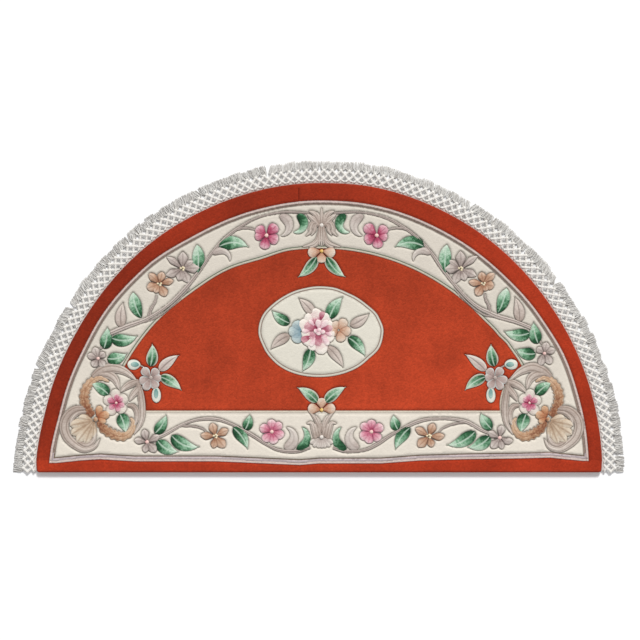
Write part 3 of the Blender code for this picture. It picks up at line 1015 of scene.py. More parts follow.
# %% Points beside the motifs
MIDDLE = np.array([0.0, 0.300 + STRAIGHT_EDGE_Y])
OVAL_MIDDLE = np.array([MEDALLION["x"], MEDALLION["up"] + STRAIGHT_EDGE_Y])
motif_tree = tree_of(np.vstack(carved_points))
seam_up = np.linspace(*SEAM_UP, SEAM_POINTS) + STRAIGHT_EDGE_Y
seam = np.column_stack([np.full(SEAM_POINTS, SEAM_X), seam_up])
outlines = np.vstack(outlines + [seam + (across * MM, 0.0) for across in SEAM_ROWS])
first_of_cell = np.unique(np.round(outlines / OUTLINE_CELL), axis=0, return_index=True)[1]
outlines = outlines[np.sort(first_of_cell)]
within_rim = push(rim, EDGE_ROUNDING + CLEAR)
outlines = outlines[inside(within_rim, outlines, MIDDLE)]
outlines = outlines[distances(motif_tree, outlines) > CLEAR_OF_MOTIF]
outlines = outlines[distances(tree_of(rows), outlines) > CLEAR_OF_LINE]
rows = np.vstack([rows, outlines])
row_tree = tree_of(rows)
print("outline points:", len(outlines))

# %% The scattered points
columns = np.arange(rug_low.x, rug_high.x, FINE_STEP)
levels = np.arange(rug_low.y, rug_high.y, FINE_STEP * math.sqrt(3) / 2)
grid_x, grid_y = np.meshgrid(columns, levels)
grid_x[1::2] += FINE_STEP / 2
plain = np.indices(grid_x.shape).sum(axis=0) % 2 == 0
plain &= (np.arange(len(levels)) % 2 == 0)[:, None]
scatter = np.column_stack([grid_x.ravel(), grid_y.ravel()])
keep = inside(within_rim, scatter, MIDDLE)
scatter, plain = scatter[keep], plain.ravel()[keep]
near_motif = distances(motif_tree, scatter)
keep = (plain | (near_motif < FINE_REACH)) & (distances(row_tree, scatter) > CLEAR)
keep &= (near_motif > FINE_CLEAR) | plain
scatter = scatter[keep]
print("scattered points:", len(scatter))

# %% [markdown]
# Blender's own triangulation keeps the lines as edges. We print how many points go in and come
# out, for it must add none: the first points must still be the rim's, which the side wall needs.

# %% The top's triangles
flat = np.vstack([rows, scatter])
made = geometry.delaunay_2d_cdt([Vector(p) for p in flat.tolist()], edges, [], 1, 1e-7)
top_points = np.array([tuple(p) for p in made[0]])
triangles = np.array([tuple(f) for f in made[2]])
print("top:", len(flat), "points in,", len(top_points), "out,", len(triangles), "triangles")

# %% [markdown]
# Now each point gets its height. Along the main lines the carver cuts a groove of about 2.4 mm,
# along the fine lines less than 1 mm, and round each motif a trough in which it stands. What is
# left is the pile's own unevenness, a few tenths of a millimetre.

# %% Heights of the top
MAIN_GROOVE = 3.4 * MM
FINE_GROOVE = 2.2 * MM
GROOVE_REACH = 1.5 * MM
TROUGH = 4.0 * MM
TROUGH_BOTTOM = 0.8 * MM
TROUGH_RIM = 3.5 * MM
UNEVEN = 0.45 * MM
BROAD_HEAVE, SHORT_HEAVE = 0.05, 0.012
MAIN_LINES = ("guard_outer", "guard_split", "guard_inner", "field", "medallion")
main_tree = tree_of(np.vstack([changes[name] for name in MAIN_LINES]))
fine_tree = tree_of(np.vstack([row for name, row in changes.items() if name not in MAIN_LINES]))


def uneven(points, size, seed):
    """Smooth noise between -1 and 1, with blotches of about that size in metres."""
    return np.array([noise.noise((x / size, y / size, seed)) for x, y in points])


to_motif = distances(motif_tree, top_points)
trough = np.clip((TROUGH_RIM - to_motif) / (TROUGH_RIM - TROUGH_BOTTOM), 0, 1)
groove = MAIN_GROOVE * np.exp(-(distances(main_tree, top_points) / GROOVE_REACH) ** 2)
fine = FINE_GROOVE * np.exp(-(distances(fine_tree, top_points) / GROOVE_REACH) ** 2)
split = MAIN_GROOVE * np.exp(-(distances(tree_of(seam), top_points) / GROOVE_REACH) ** 2)
cut = np.maximum(np.maximum(groove, fine), np.maximum(TROUGH * trough, split))
heave = uneven(top_points, BROAD_HEAVE, 1.0) + 0.7 * uneven(top_points, SHORT_HEAVE, 2.0)
heave = UNEVEN * (heave - 0.6)
top_z = PILE_TOP - cut + np.minimum(heave, 0.2 * MM)
top_z[: len(rim_top)] = PILE_TOP
print("deepest groove in mm:", round(cut.max() / MM, 2))

# %% [markdown]
# The side is rounded at the top, and round the arc the outer tufts splay a few millimetres over
# the fringe's heading. Below them it runs down to the woven ground, which is set in a little.
# All of it hangs on the rim's first ring of points.

# %% Side and sole
ROUNDING_STEPS = 4
GROUND_HEIGHT = 3.0 * MM
GROUND_INSET = 0.8 * MM
SPLAY = 3.0 * MM
SPLAY_FOOT = 6.5 * MM
# what belongs to the arc alone begins this far above the straight edge
CORNER_FADE = 30 * MM
splays = SPLAY * np.clip((rim[:, 1] - STRAIGHT_EDGE_Y) / CORNER_FADE, 0, 1)
rings = []
for k in range(1, ROUNDING_STEPS + 1):
    turn = math.pi / 2 * k / ROUNDING_STEPS
    inset = EDGE_ROUNDING * (1 - math.sin(turn))
    rings.append((inset - splays * math.sin(turn), PILE_TOP - EDGE_ROUNDING * (1 - math.cos(turn))))
rings += [(-0.7 * splays, SPLAY_FOOT), (0 * splays, GROUND_HEIGHT)]
rings += [(GROUND_INSET, GROUND_HEIGHT - 0.4 * MM), (GROUND_INSET, 0.0)]
count = len(rim_top)
points = [np.column_stack([top_points, top_z])]
faces = [tuple(f) for f in triangles.tolist()]
above, total = 0, len(top_points)
for inset, height in rings:
    ring = push(rim, inset)
    points.append(np.column_stack([ring, np.full(count, height)]))
    around = [(k, (k + 1) % count) for k in range(count)]
    faces += [(above + a, total + a, total + b, above + b) for a, b in around]
    above, total = total, total + count
sole = [Vector(p) for p in push(rim, GROUND_INSET).tolist()]
sole_edges = [(k, (k + 1) % count) for k in range(count)]
sole_faces = geometry.delaunay_2d_cdt(sole, sole_edges, [], 1, 1e-7)[2]
faces += [tuple(above + k for k in reversed(f)) for f in sole_faces]
points = np.vstack(points)
print("pile:", len(points), "points,", len(faces), "faces")

# %% [markdown]
# ## Wool and cotton
#
# The finish of the real rug is dyed wool: matt, with a faint bloom where the tufts' tips catch
# the light. Colours below are named as a dyer would and given in sRGB, as read from a screen,
# so one function turns them into Blender's linear values.

# %% Colours
# the guard's dark colour is its mauve painted darker, as the shadow of its inner groove
DYES = {
    "terracotta": "#a53a1f", "rim_red": "#a6351b", "cream": "#d4ccbf", "oval_cream": "#dad5c7",
    "guard_pale": "#e0ccc3", "guard_mauve": "#a08c80", "guard_lilac": "#cbbcbd",
    "guard_groove_shadow": "#83705f", "line_green": "#75836f", "line_pale": "#d3c9b7",
    "ground_cotton": "#b8ab93",
}


def linear(code):
    """An sRGB hex colour as linear red, green, blue and alpha."""
    parts = [int(code[k:k + 2], 16) / 255 for k in (1, 3, 5)]
    return [c / 12.92 if c <= 0.04045 else ((c + 0.055) / 1.055) ** 2.4 for c in parts] + [1.0]


def add(tree, kind, sockets=(), stops=(), **settings):
    """One node with its settings: a socket takes a value, an output or a node's first output."""
    node = tree.nodes.new("ShaderNode" + kind)
    for name, value in settings.items():
        setattr(node, name, value)
    for name, value in dict(sockets).items():
        if isinstance(value, bpy.types.Node):
            value = value.outputs[0]
        if isinstance(value, bpy.types.NodeSocket):
            tree.links.new(value, node.inputs[name])
        else:
            node.inputs[name].default_value = value
    for k, (place, code) in enumerate(stops):
        stop = node.color_ramp.elements[k] if k < 2 else node.color_ramp.elements.new(place)
        stop.position = place
        stop.color = linear(code)
    return node


# %% [markdown]
# Real tufts are about 2 mm wide. In this photograph a pixel covers 2.4 mm, so tufts of that size
# would vanish between the pixels: they are coarsened to 3.6 mm, where they still read as grain.
# Each tuft differs a little in tone from the next, as hand-spun and hand-dyed wool does.

# %% The pile's grain
TUFT = 3.6 * MM
FUZZ = 1.3 * MM


def pile_grain(tree, depth):
    """Tone and height of the tufts: gives the place, a tone from 0 to 1 and a normal."""
    place = add(tree, "TexCoord").outputs["Object"]
    tufts = add(tree, "TexVoronoi", {"Vector": place, "Scale": 1 / TUFT})
    fuzz = add(tree, "TexNoise", {"Vector": place, "Scale": 1 / FUZZ, "Detail": 2.0})
    tone = add(tree, "SeparateColor", {"Color": tufts.outputs["Color"]}).outputs["Red"]
    lump = add(tree, "Math", {0: tufts.outputs["Distance"], 1: -0.8}, operation="MULTIPLY")
    lump = add(tree, "Math", {0: fuzz, 1: 0.5, 2: lump}, operation="MULTIPLY_ADD")
    bump = add(tree, "Bump", {"Height": lump, "Strength": 0.6, "Distance": depth})
    return place, tone, bump.outputs[0]


def wool_shader(tree, colour, normal):
    """Finish a wool: the deeper a cut, the darker its wool is painted, a painted shade in the grooves.
    """
    depth = add(tree, "Attribute", attribute_name="depth")
    shade = add(tree, "MapRange", {0: depth.outputs["Fac"], 3: 1.0, 4: 0.55})
    shaded = add(tree, "VectorMath", {0: colour}, operation="SCALE")
    tree.links.new(shade.outputs[0], shaded.inputs["Scale"])
    colour = shaded.outputs[0]
    shader = tree.nodes["Principled BSDF"]
    shader.inputs["Roughness"].default_value = 0.95
    shader.inputs["IOR"].default_value = 1.5
    shader.inputs["Specular IOR Level"].default_value = 0.12
    shader.inputs["Sheen Weight"].default_value = 0.04
    shader.inputs["Sheen Roughness"].default_value = 0.6
    tree.links.new(colour, shader.inputs["Base Color"])
    tree.links.new(normal, shader.inputs["Normal"])


def new_finish(name):
    finish = bpy.data.materials.new(name)
    finish.use_nodes = True
    return finish, finish.node_tree


# %% [markdown]
# ### Ground wool
#
# Plain pile is never one flat colour. The dye took unevenly from skein to skein, which leaves
# soft blotches and faint bands. Pile that leans away from the light looks darker, and that is
# painted into the colour as painted shade and light. This lean round the arc's rim is kept as a
# value on the mesh.

# %% Ground wool
def ground_wool(name, code, mottle, grain, depth=1.2 * MM):
    """mottle and grain say how far the tone strays, as shares of the colour."""
    finish, tree = new_finish(name)
    place, tone, normal = pile_grain(tree, depth)
    blotch = add(tree, "TexNoise", {"Vector": place, "Scale": 11.0, "Detail": 3.0})
    drawn = add(tree, "Mapping", {"Vector": place, "Scale": (60.0, 5.0, 1.0)})
    band = add(tree, "TexNoise", {"Vector": drawn, "Scale": 1.0, "Detail": 2.0})
    both = add(tree, "Math", {0: band, 1: 0.25, 2: blotch},
               operation="MULTIPLY_ADD")
    large = add(tree, "Math", {0: both, 1: mottle, 2: 1 - 0.625 * mottle},
                operation="MULTIPLY_ADD")
    small = add(tree, "Math", {0: tone, 1: grain, 2: 1 - grain / 2},
                operation="MULTIPLY_ADD")
    # lean paints shade and light into the pile: darker where it leans away from the light
    lean = add(tree, "Attribute", attribute_name="lean")
    value = add(tree, "Math", {0: large, 1: small},
                operation="MULTIPLY")
    value = add(tree, "Math", {0: value, 1: lean.outputs["Fac"]},
                operation="MULTIPLY")
    colour = add(tree, "VectorMath", {0: linear(code)[:3]}, operation="SCALE")
    tree.links.new(value.outputs[0], colour.inputs["Scale"])
    wool_shader(tree, colour.outputs[0], normal)
    return finish


ground_finishes = [
    ground_wool("rim wool, terracotta", DYES["rim_red"], 0.60, 0.24),
    ground_wool("guard wool, pale", DYES["guard_pale"], 0.20, 0.16),
    ground_wool("guard wool, mauve", DYES["guard_mauve"], 0.24, 0.20),
    ground_wool("border wool, cream", DYES["cream"], 0.10, 0.06, 0.7 * MM),
    ground_wool("line wool, grey-green", DYES["line_green"], 0.16, 0.20),
    ground_wool("line wool, pale", DYES["line_pale"], 0.08, 0.10),
    ground_wool("field wool, terracotta", DYES["terracotta"], 0.70, 0.26),
    ground_wool("oval wool, cream", DYES["oval_cream"], 0.08, 0.05, 0.6 * MM),
    ground_wool("woven ground, cotton", DYES["ground_cotton"], 0.14, 0.20, 0.6 * MM),
    ground_wool("guard wool, lilac", DYES["guard_lilac"], 0.20, 0.20),
    ground_wool("guard wool, dark", DYES["guard_groove_shadow"], 0.30, 0.30),
]
RIM, PALE, MAUVE, BORDER, GREEN_LINE, PALE_LINE, FIELD, OVAL, GROUND, LILAC, DARK = range(11)
print("ground finishes:", len(ground_finishes))

# %% [markdown]
# A triangle's middle tells which region it lies in. The regions are nested, so each inner one
# overwrites the one round it. Along the straight edge the guard's two bands are lilac and dark:
# the dark one is its mauve painted darker, as the shadow of the guard's inner groove.

# %% Which wool each face takes
GUARD_TOP = 47 * MM


def along_straight(places):
    """Whether places in the guard lie in its straight side."""
    return places[:, 1] < STRAIGHT_EDGE_Y + GUARD_TOP


middles = top_points[triangles].mean(axis=1)
wool_of = np.full(len(faces), GROUND)
top_wool = np.full(len(triangles), RIM)
top_wool[inside(guard_outer, middles, MIDDLE)] = PALE
in_split = inside(changes["guard_split"], middles, MIDDLE)
top_wool[in_split] = MAUVE
in_edge = inside(changes["guard_edge"], middles, MIDDLE)
top_wool[in_split & ~in_edge & along_straight(middles)] = LILAC
# the dark band is the guard's mauve painted darker, as painted shadow of its inner groove
top_wool[in_edge & along_straight(middles)] = DARK
top_wool[inside(guard_inner, middles, MIDDLE)] = BORDER
on_arc = np.hypot(middles[:, 0], middles[:, 1] - STRAIGHT_EDGE_Y) > FIELD_RADIUS - 1 * MM
in_outer = inside(changes["line_outer"], middles, MIDDLE)
in_inner = inside(changes["line_inner"], middles, MIDDLE)
top_wool[in_outer & on_arc] = GREEN_LINE
top_wool[in_inner] = PALE_LINE
top_wool[inside(field, middles, MIDDLE)] = FIELD
top_wool[inside(medallion, middles, OVAL_MIDDLE)] = OVAL
fine_ring = inside(changes["oval_inner"], middles, OVAL_MIDDLE)
fine_ring &= ~inside(changes["oval_outer"], middles, OVAL_MIDDLE)
top_wool[fine_ring] = MAUVE
wool_of[: len(triangles)] = top_wool
wool_of[len(triangles): len(triangles) + (ROUNDING_STEPS + 2) * count] = RIM
print("faces of each wool:", np.bincount(wool_of).tolist())

# %% [markdown]
# The pile becomes one object. Pile that leans away from the light is painted darker all along
# the left of the arc, and lighter again towards the right: a painted shade and light. The field
# and the border are painted lighter towards the straight edge.

# %% How the pile leans: painted shade and light
# angle round the arc in degrees, how bright the rim's pile is painted there, a painted shade and light
RIM_PAINTED_SHADING = (
    (0, 0.82), (15, 0.84), (26, 1.03), (48, 1.04), (75, 0.83), (90, 0.78), (105, 0.67),
    (118, 0.85), (131, 0.64), (143, 0.60), (155, 0.58), (167, 0.63), (180, 0.78),
)
# the field's painted brightness at its straight side, its loss up to the crown, its gain to the right
FIELD_BRIGHT, FIELD_LOSS, FIELD_GAIN = 1.20, 0.28, 0.09
# the border's painted gain in brightness at the straight edge, and how fast that dies out upwards
BORDER_GAIN, BORDER_FADE = 0.12, 2.4
# how deep a groove must be to be painted darker, and the painted shade given to the rug's side
GROOVE_SHADED, SIDE_PAINTED_SHADE = 0.8 * MM, 0.25
# the same painted shade and light as the rim's, for the guard's mauve band
MAUVE_PAINTED_SHADING = (
    (0, 1.10), (25, 1.05), (40, 0.80), (75, 0.68), (110, 0.68), (125, 0.84), (150, 0.90),
    (165, 1.00), (180, 1.05),
)


# %% A piece of the rug
def placed(name, data):
    """A new object in the scene."""
    thing = bpy.data.objects.new(name, data)
    bpy.context.scene.collection.objects.link(thing)
    return thing


def solid(name, points, faces, node, finishes):
    """A closed piece of the rug, riding on the row's one body."""
    mesh = bpy.data.meshes.new(name)
    mesh.from_pydata(np.asarray(points).tolist(), [], faces)
    for finish in finishes:
        mesh.materials.append(finish)
    mesh.shade_smooth()
    piece = placed(name, mesh)
    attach(piece, "root")
    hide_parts(node)
    return piece


def point_value(piece, name, values):
    piece.data.attributes.new(name, "FLOAT", "POINT").data.foreach_set("value", values)


# %% The rug's body
body = solid("pile_body", points, faces, "pile_rug", ground_finishes)
body.data.polygons.foreach_set("material_index", wool_of.astype(np.int32))
print("body faces:", len(body.data.polygons))

# %% Painted shade and light of the body's pile: its lean and the depth of its cuts
turns = np.degrees(np.arctan2(points[:, 1] - STRAIGHT_EDGE_Y, points[:, 0]))
rim_shading_at, rim_shading_of = np.array(RIM_PAINTED_SHADING, float).T
out_of_guard = ~inside(guard_outer, points[:, :2], MIDDLE)
on_arc_rim = out_of_guard & (points[:, 1] > STRAIGHT_EDGE_Y + CORNER_FADE)
# lean holds the painted shade and light of the pile, by place on the rug
lean = np.where(on_arc_rim, np.interp(turns, rim_shading_at, rim_shading_of), 1.0)
in_field = inside(field, points[:, :2], MIDDLE) & ~inside(medallion, points[:, :2], OVAL_MIDDLE)
up_field = (points[:, 1] - STRAIGHT_EDGE_Y - FIELD_BASE) / (FIELD_RADIUS - FIELD_BASE)
slope = FIELD_BRIGHT - FIELD_LOSS * up_field + FIELD_GAIN * points[:, 0] / FIELD_RADIUS
lean = np.where(in_field, slope, lean)
in_border = inside(guard_inner, points[:, :2], MIDDLE) & ~inside(field, points[:, :2], MIDDLE)
border_painted_light = 1.0 + BORDER_GAIN * np.clip(1 - BORDER_FADE * up_field, 0, 1)
lean = np.where(in_border, border_painted_light, lean)
in_mauve = inside(changes["guard_split"], points[:, :2], MIDDLE)
in_mauve &= ~inside(guard_inner, points[:, :2], MIDDLE)
mauve_at, mauve_of = np.array(MAUVE_PAINTED_SHADING, float).T
in_mauve &= ~along_straight(points)
lean = np.where(in_mauve, np.interp(turns, mauve_at, mauve_of), lean)
point_value(body, "lean", lean.astype(np.float32))
# depth paints shade into the body's wool: darker in the grooves and on the rug's side
depth = np.zeros(len(points))
depth[: len(cut)] = np.clip((cut - GROOVE_SHADED) / DARKEST_OVER, 0, 1)
depth[len(cut):] = SIDE_PAINTED_SHADE
point_value(body, "depth", depth.astype(np.float32))
print("lean from", round(lean.min(), 2), "to", round(lean.max(), 2))

# %% [markdown]
# ### Motif wool
#
# A carved leaf is knotted in two or three shades, dark at the stalk and pale at the tip, with a
# lighter line down the rib. So the colour here follows the place along and across the motif,
# which each strip kept as its texture coordinates, and then strays from tuft to tuft.

# %% Motif wool
def motif_wool(name, shades, rib=None, rim=None, fold=None, seam=None, grain=0.24, side=0.0):
    """shades run from base to tip. rib and rim are (colour, strength, share of the width), fold
    (colour, strength, number of folds) and seam (colour, strength)."""
    finish, tree = new_finish(name)
    place, tone, normal = pile_grain(tree, 1.2 * MM)
    uv = add(tree, "UVMap", uv_map="motif")
    axes = add(tree, "SeparateXYZ", {0: uv})
    dye = add(tree, "Attribute", attribute_name="dye")
    # the place along the motif strays by tuft, by motif and in soft blotches
    wander = add(tree, "TexNoise", {"Vector": place, "Scale": 70.0, "Detail": 1.0})
    shift = add(tree, "Math", {0: tone, 1: grain, 2: -grain / 2}, operation="MULTIPLY_ADD")
    shift = add(tree, "Math", {0: dye.outputs["Fac"], 1: 0.16, 2: shift},
                operation="MULTIPLY_ADD")
    shift = add(tree, "Math", {0: wander, 1: 0.5, 2: shift},
                operation="MULTIPLY_ADD")
    along = add(tree, "Math", {0: axes.outputs["X"], 1: shift}, operation="ADD")
    along = add(tree, "Math", {0: along, 1: 0.33 + side}, operation="SUBTRACT")
    along = add(tree, "Math", {0: axes.outputs["Y"], 1: 2 * side, 2: along},
                operation="MULTIPLY_ADD")
    last = len(shades) - 1
    ramp = add(tree, "ValToRGB", {0: along},
               stops=[(k / last, code) for k, code in enumerate(shades)])
    colour = ramp.outputs[0]
    off = add(tree, "Math", {0: axes.outputs["Y"], 1: 2.0, 2: -1.0},
              operation="MULTIPLY_ADD")
    away = add(tree, "Math", {0: off}, operation="ABSOLUTE").outputs[0]
    overlays = []
    if fold:
        wave = add(tree, "Math", {0: off, 1: fold[2] * math.pi / 2}, operation="MULTIPLY")
        wave = add(tree, "Math", {0: wave}, operation="COSINE")
        wave = add(tree, "Math", {0: wave}, operation="ABSOLUTE")
        share = add(tree, "MapRange", {0: wave, 1: 0.1, 2: 0.6, 3: fold[1], 4: 0.0})
        overlays.append((share, fold[0]))
    if rib:
        share = add(tree, "MapRange", {0: away, 1: rib[2], 2: 0.0, 3: 0.0, 4: rib[1]})
        overlays.append((share, rib[0]))
    if seam:
        inner = {0: axes.outputs["X"], 1: 0.25, 2: 0.75, 3: seam[1], 4: 0.0}
        outer = {0: away, 1: 0.5, 2: 0.9}
        share = {0: add(tree, "MapRange", inner), 1: add(tree, "MapRange", outer)}
        overlays.append((add(tree, "Math", share, operation="MULTIPLY"), seam[0]))
    # a rim darker than the motif's tip paints the shadow along its carved edge; a pale rim is dyed
    if rim:
        share = add(tree, "MapRange", {0: away, 1: 1 - rim[2], 2: 0.95, 3: 0.0, 4: rim[1]})
        overlays.append((share, rim[0]))
    for share, code in overlays:
        mixed = add(tree, "Mix", {0: share, 6: colour, 7: linear(code)}, data_type="RGBA")
        colour = mixed.outputs[2]
    wool_shader(tree, colour, normal)
    return finish


# %% [markdown]
# The shades of each family. Greens run from a bottle green stalk to a pale sea-green tip, the
# mauves are dusty, and petals are darkest in the flower's heart.

# %% The motifs' shades
GREENS = ("#20442d", "#326040", "#6d9a79", "#a9c6ad", "#c8d7c5")
MAUVES = ("#aa9a8f", "#c8bab0", "#dacfc3")
# the darker rims of leaf_mauve, scroll_peach and the rose, pink, mauve, brown, peach, blue and peony
# petals are painted shadow along the carved edge; the pale rims are dyed
SHADES = {
    "leaf_green": dict(shades=GREENS, rib=("#cfe0cf", 0.75, 0.2), side=0.14),
    "leaf_on_red": dict(shades=GREENS, rib=("#cfe0cf", 0.7, 0.2), rim=("#d9d6c6", 0.9, 0.4),
                        side=0.1),
    "leaf_mauve": dict(shades=MAUVES, rib=("#7d6e68", 0.75, 0.2), rim=("#857671", 0.5, 0.14)),
    "leaf_mauve_on_red": dict(shades=("#b8a69e", "#ccbfb6", "#d8d0c6"), rib=("#7d6e67", 0.8, 0.24),
                              rim=("#e0dacd", 0.95, 0.45)),
    "bud_on_red": dict(shades=("#c9cec2", "#d8dace", "#dddcd0")),
    "bud_heart": dict(shades=("#5c8b86", "#84a8a1", "#a9c0b7")),
    "crescent_mauve": dict(shades=("#b0a29a", "#c9beb5", "#d8d0c6"), rib=("#95867f", 0.4, 0.3)),
    "crescent_green": dict(shades=GREENS, side=0.14),
    "stem_mauve": dict(shades=("#b4a69e", "#c9bdb4"), rib=("#83746d", 0.8, 0.36)),
    "scroll_mauve": dict(shades=("#a9988d", "#c2b4a9", "#d5cabf"), fold=("#7a685c", 0.66, 2)),
    "scroll_pale": dict(shades=("#d8cfc6", "#e0d9d0")),
    "scroll_brown": dict(shades=("#86563f", "#b08768", "#c6a587", "#d2b79c"), grain=0.4,
                         rib=("#7f513b", 0.5, 0.16), rim=("#d8bfa7", 0.5, 0.3)),
    "scroll_peach": dict(shades=("#a58a72", "#c8b49c", "#d8cdbb"), rib=("#8e6f58", 0.6, 0.3),
                         rim=("#b79b82", 0.5, 0.2)),
    "petal_amber": dict(shades=("#96593d", "#bb8663", "#d0b394"), seam=("#87462c", 0.6)),
    "petal_rose": dict(shades=("#8a2742", "#b95b74", "#cd8f9d", "#dab8bb"), rim=("#b294a0", 0.5, 0.14),
                       rib=("#96385a", 0.45, 0.18), seam=("#7a2240", 0.9)),
    "petal_pink": dict(shades=("#a03f5a", "#c6778b", "#daa5af", "#e5cccc"), rim=("#bfa3ac", 0.5, 0.14),
                       rib=("#a64a66", 0.4, 0.18), seam=("#8a3352", 0.9)),
    "petal_mauve": dict(shades=("#8f7f79", "#bbaea6", "#d1c7be"), rib=("#7d6e67", 0.5, 0.25),
                        seam=("#5f524d", 0.8), rim=("#8a7b74", 0.45, 0.16)),
    "petal_brown": dict(shades=("#96684f", "#be9a80", "#d2b9a5"), rib=("#8a5c46", 0.5, 0.25),
                        seam=("#704838", 0.8), rim=("#98705c", 0.4, 0.16)),
    "petal_pale": dict(shades=("#8a7670", "#b09c95", "#bfb3ac"), seam=("#75635f", 0.7),
                       rim=("#d3d8d4", 0.8, 0.42)),
    "petal_heart": dict(shades=("#87304a", "#a6576a", "#c28892", "#d9b7b7"), seam=("#7c2740", 0.6)),
    "petal_peach": dict(shades=("#b58469", "#d0b19a", "#dacaba"), seam=("#9c6c54", 0.7),
                        rim=("#b99683", 0.35, 0.14)),
    "petal_blue": dict(shades=("#74909b", "#a0b2b5", "#c5cfca"), seam=("#5d7884", 0.7),
                       rim=("#8d9fa3", 0.35, 0.14)),
    "petal_cream": dict(shades=("#cf9da6", "#d9cbc0", "#dcd5c8")),
    "petal_peony": dict(shades=("#a2566a", "#cb99a2", "#e2cdc7", "#eae0d6", "#ece5da"),
                        seam=("#a05a6e", 0.6), rim=("#c4adaa", 0.5, 0.14)),
    "petal_white": dict(shades=("#d39fac", "#e5c8ca", "#ece0da"), seam=("#b87488", 0.5)),
    "eye_cream": dict(shades=("#e0cfa6", "#eadfc4")),
    "eye_blush": dict(shades=("#e0b0ac", "#ecd0c4")),
    "eye_gold": dict(shades=("#d8a548", "#e8cb88")),
}


# %% The motifs' pieces
def motif_piece(family):
    store = families[family]
    points = np.vstack(store["points"])
    piece = solid("carved_" + family, points, store["faces"], "pile_rug",
                  [motif_wool(family.replace("_", " ") + " wool", **SHADES[family])])
    mesh = piece.data
    place = np.vstack(store["place"])
    corners = np.zeros(len(mesh.loops), np.int32)
    mesh.loops.foreach_get("vertex_index", corners)
    layer = mesh.uv_layers.new(name="motif")
    layer.data.foreach_set("uv", place[corners].ravel().astype(np.float32))
    for value in ("dye", "depth"):
        point_value(piece, value, np.concatenate(store[value]).astype(np.float32))
    mesh.set_sharp_from_angle(angle=math.radians(50))
    return piece


motifs = [motif_piece(family) for family in families]
print("motif faces:", {piece.name: len(piece.data.polygons) for piece in motifs})

# %% [markdown]
# ## The net fringe
#
# The fringe is knotted cotton: a sewn heading, a net of diamonds tied with three rows of knots,
# and a tassel under each knot of the last row. Every strand here is a tube along a line. Tubes
# could come from curve objects, but there are thousands, so one function makes them all at once.

# %% Tubes
PITCHES = 108
SEWN_GAP = 0.3 * MM
KNOT_ROWS = (12.8 * MM, 23.4 * MM, 33.6 * MM)
FRINGE_DEPTH = 62.0 * MM
strands = np.random.default_rng(23)
# the fringe's places are looked up between two lines along the arc, this far apart
GRID_OUT = 0.1
grid_pitches = np.linspace(-1.0, PITCHES + 1.0, 1201)
grid_turns = np.clip(math.pi * grid_pitches / PITCHES, 0.0, math.pi)
grid_inner, grid_outer = (
    np.array([
        arc_point(t, RUG_HALF_WIDTH, RUG_DEPTH, stray(t) + SEWN_GAP + out) for t in grid_turns
    ]) for out in (0.0, GRID_OUT)
)


def beside_arc(pitches, out, height):
    """Places in the fringe: pitches along the arc, metres out from the rug, metres up."""
    axes = []
    for k in (0, 1):
        inner = np.interp(pitches, grid_pitches, grid_inner[:, k])
        outer = np.interp(pitches, grid_pitches, grid_outer[:, k])
        axes.append(inner + (outer - inner) * out / GRID_OUT)
    return np.stack(axes + [height + 0 * pitches], axis=-1)


def tubes(lines, radii, sides):
    """Closed tubes along many lines at once: lines is (tubes, steps, 3), radii (tubes, steps)."""
    many, steps = lines.shape[:2]
    tangent = np.gradient(lines, axis=1)
    tangent /= np.linalg.norm(tangent, axis=2, keepdims=True)
    across = np.cross(tangent, [0.0, 0.0, 1.0])
    across /= np.linalg.norm(across, axis=2, keepdims=True)
    upwards = np.cross(across, tangent)
    turns = (np.arange(sides) + 0.5) * 2 * math.pi / sides
    ring = (np.cos(turns)[:, None] * across[:, :, None, :]
            + np.sin(turns)[:, None] * upwards[:, :, None, :])
    points = lines[:, :, None, :] + ring * radii[:, :, None, None]
    ids = np.arange(many * steps * sides).reshape(many, steps, sides)
    a, b = ids[:, :-1], ids[:, 1:]
    quads = np.stack([a, np.roll(a, -1, axis=2), np.roll(b, -1, axis=2), b], axis=-1)
    faces = quads.reshape(-1, 4).tolist()
    faces += ids[:, 0, ::-1].tolist() + ids[:, -1].tolist()
    return points.reshape(-1, 3), faces


# %% [markdown]
# The cotton is undyed, slightly grey in soft blotches where dust has settled, and the tassels'
# lower yarns are painted darker, a painted shade under the yarns above them. Its twist is finer
# than a pixel, so only a soft mottling and a small bump stand for it.

# %% Fringe cotton
def fringe_cotton(name, shades):
    finish, tree = new_finish(name)
    place = add(tree, "TexCoord").outputs["Object"]
    blotch = add(tree, "TexNoise", {"Vector": place, "Scale": 160.0, "Detail": 2.0})
    fibre = add(tree, "TexNoise", {"Vector": place, "Scale": 900.0, "Detail": 1.0})
    dye = add(tree, "Attribute", attribute_name="dye")
    tone = add(tree, "Math", {0: blotch, 1: dye.outputs["Fac"]}, operation="ADD")
    tone = add(tree, "Math", {0: tone, 1: 0.5}, operation="MULTIPLY")
    ramp = add(tree, "ValToRGB", {0: tone}, stops=((0.25, shades[0]), (0.75, shades[1])))
    bump = add(tree, "Bump",
               {"Height": fibre, "Strength": 0.5, "Distance": 0.5 * MM})
    wool_shader(tree, ramp.outputs[0], bump.outputs[0])
    return finish


cotton = fringe_cotton("net cotton, off-white", ("#d3cec6", "#ebe8e2"))
tassel_cotton = fringe_cotton("tassel cotton, combed", ("#b4afa9", "#e3e1dc"))

# %% [markdown]
# ### Heading and net
#
# Four cords run side by side along the edge and hold the fringe. From them two legs come
# together at each knot of the first row, and between the rows each cord is two twisted plies.
# The net's own cords are pressed flat and look pale from above.

# %% A twisted cord
NET_STEPS = 9
TURNS_OF_TWIST = 1.6
PLY_RADIUS = 2.35 * MM
FLATTENED = 0.6
HEADING_OUT, NET_HEIGHT = 7.4 * MM, 6.8 * MM
# pitches from a knot to where its two legs leave the heading
LEG_SPREAD = 0.36


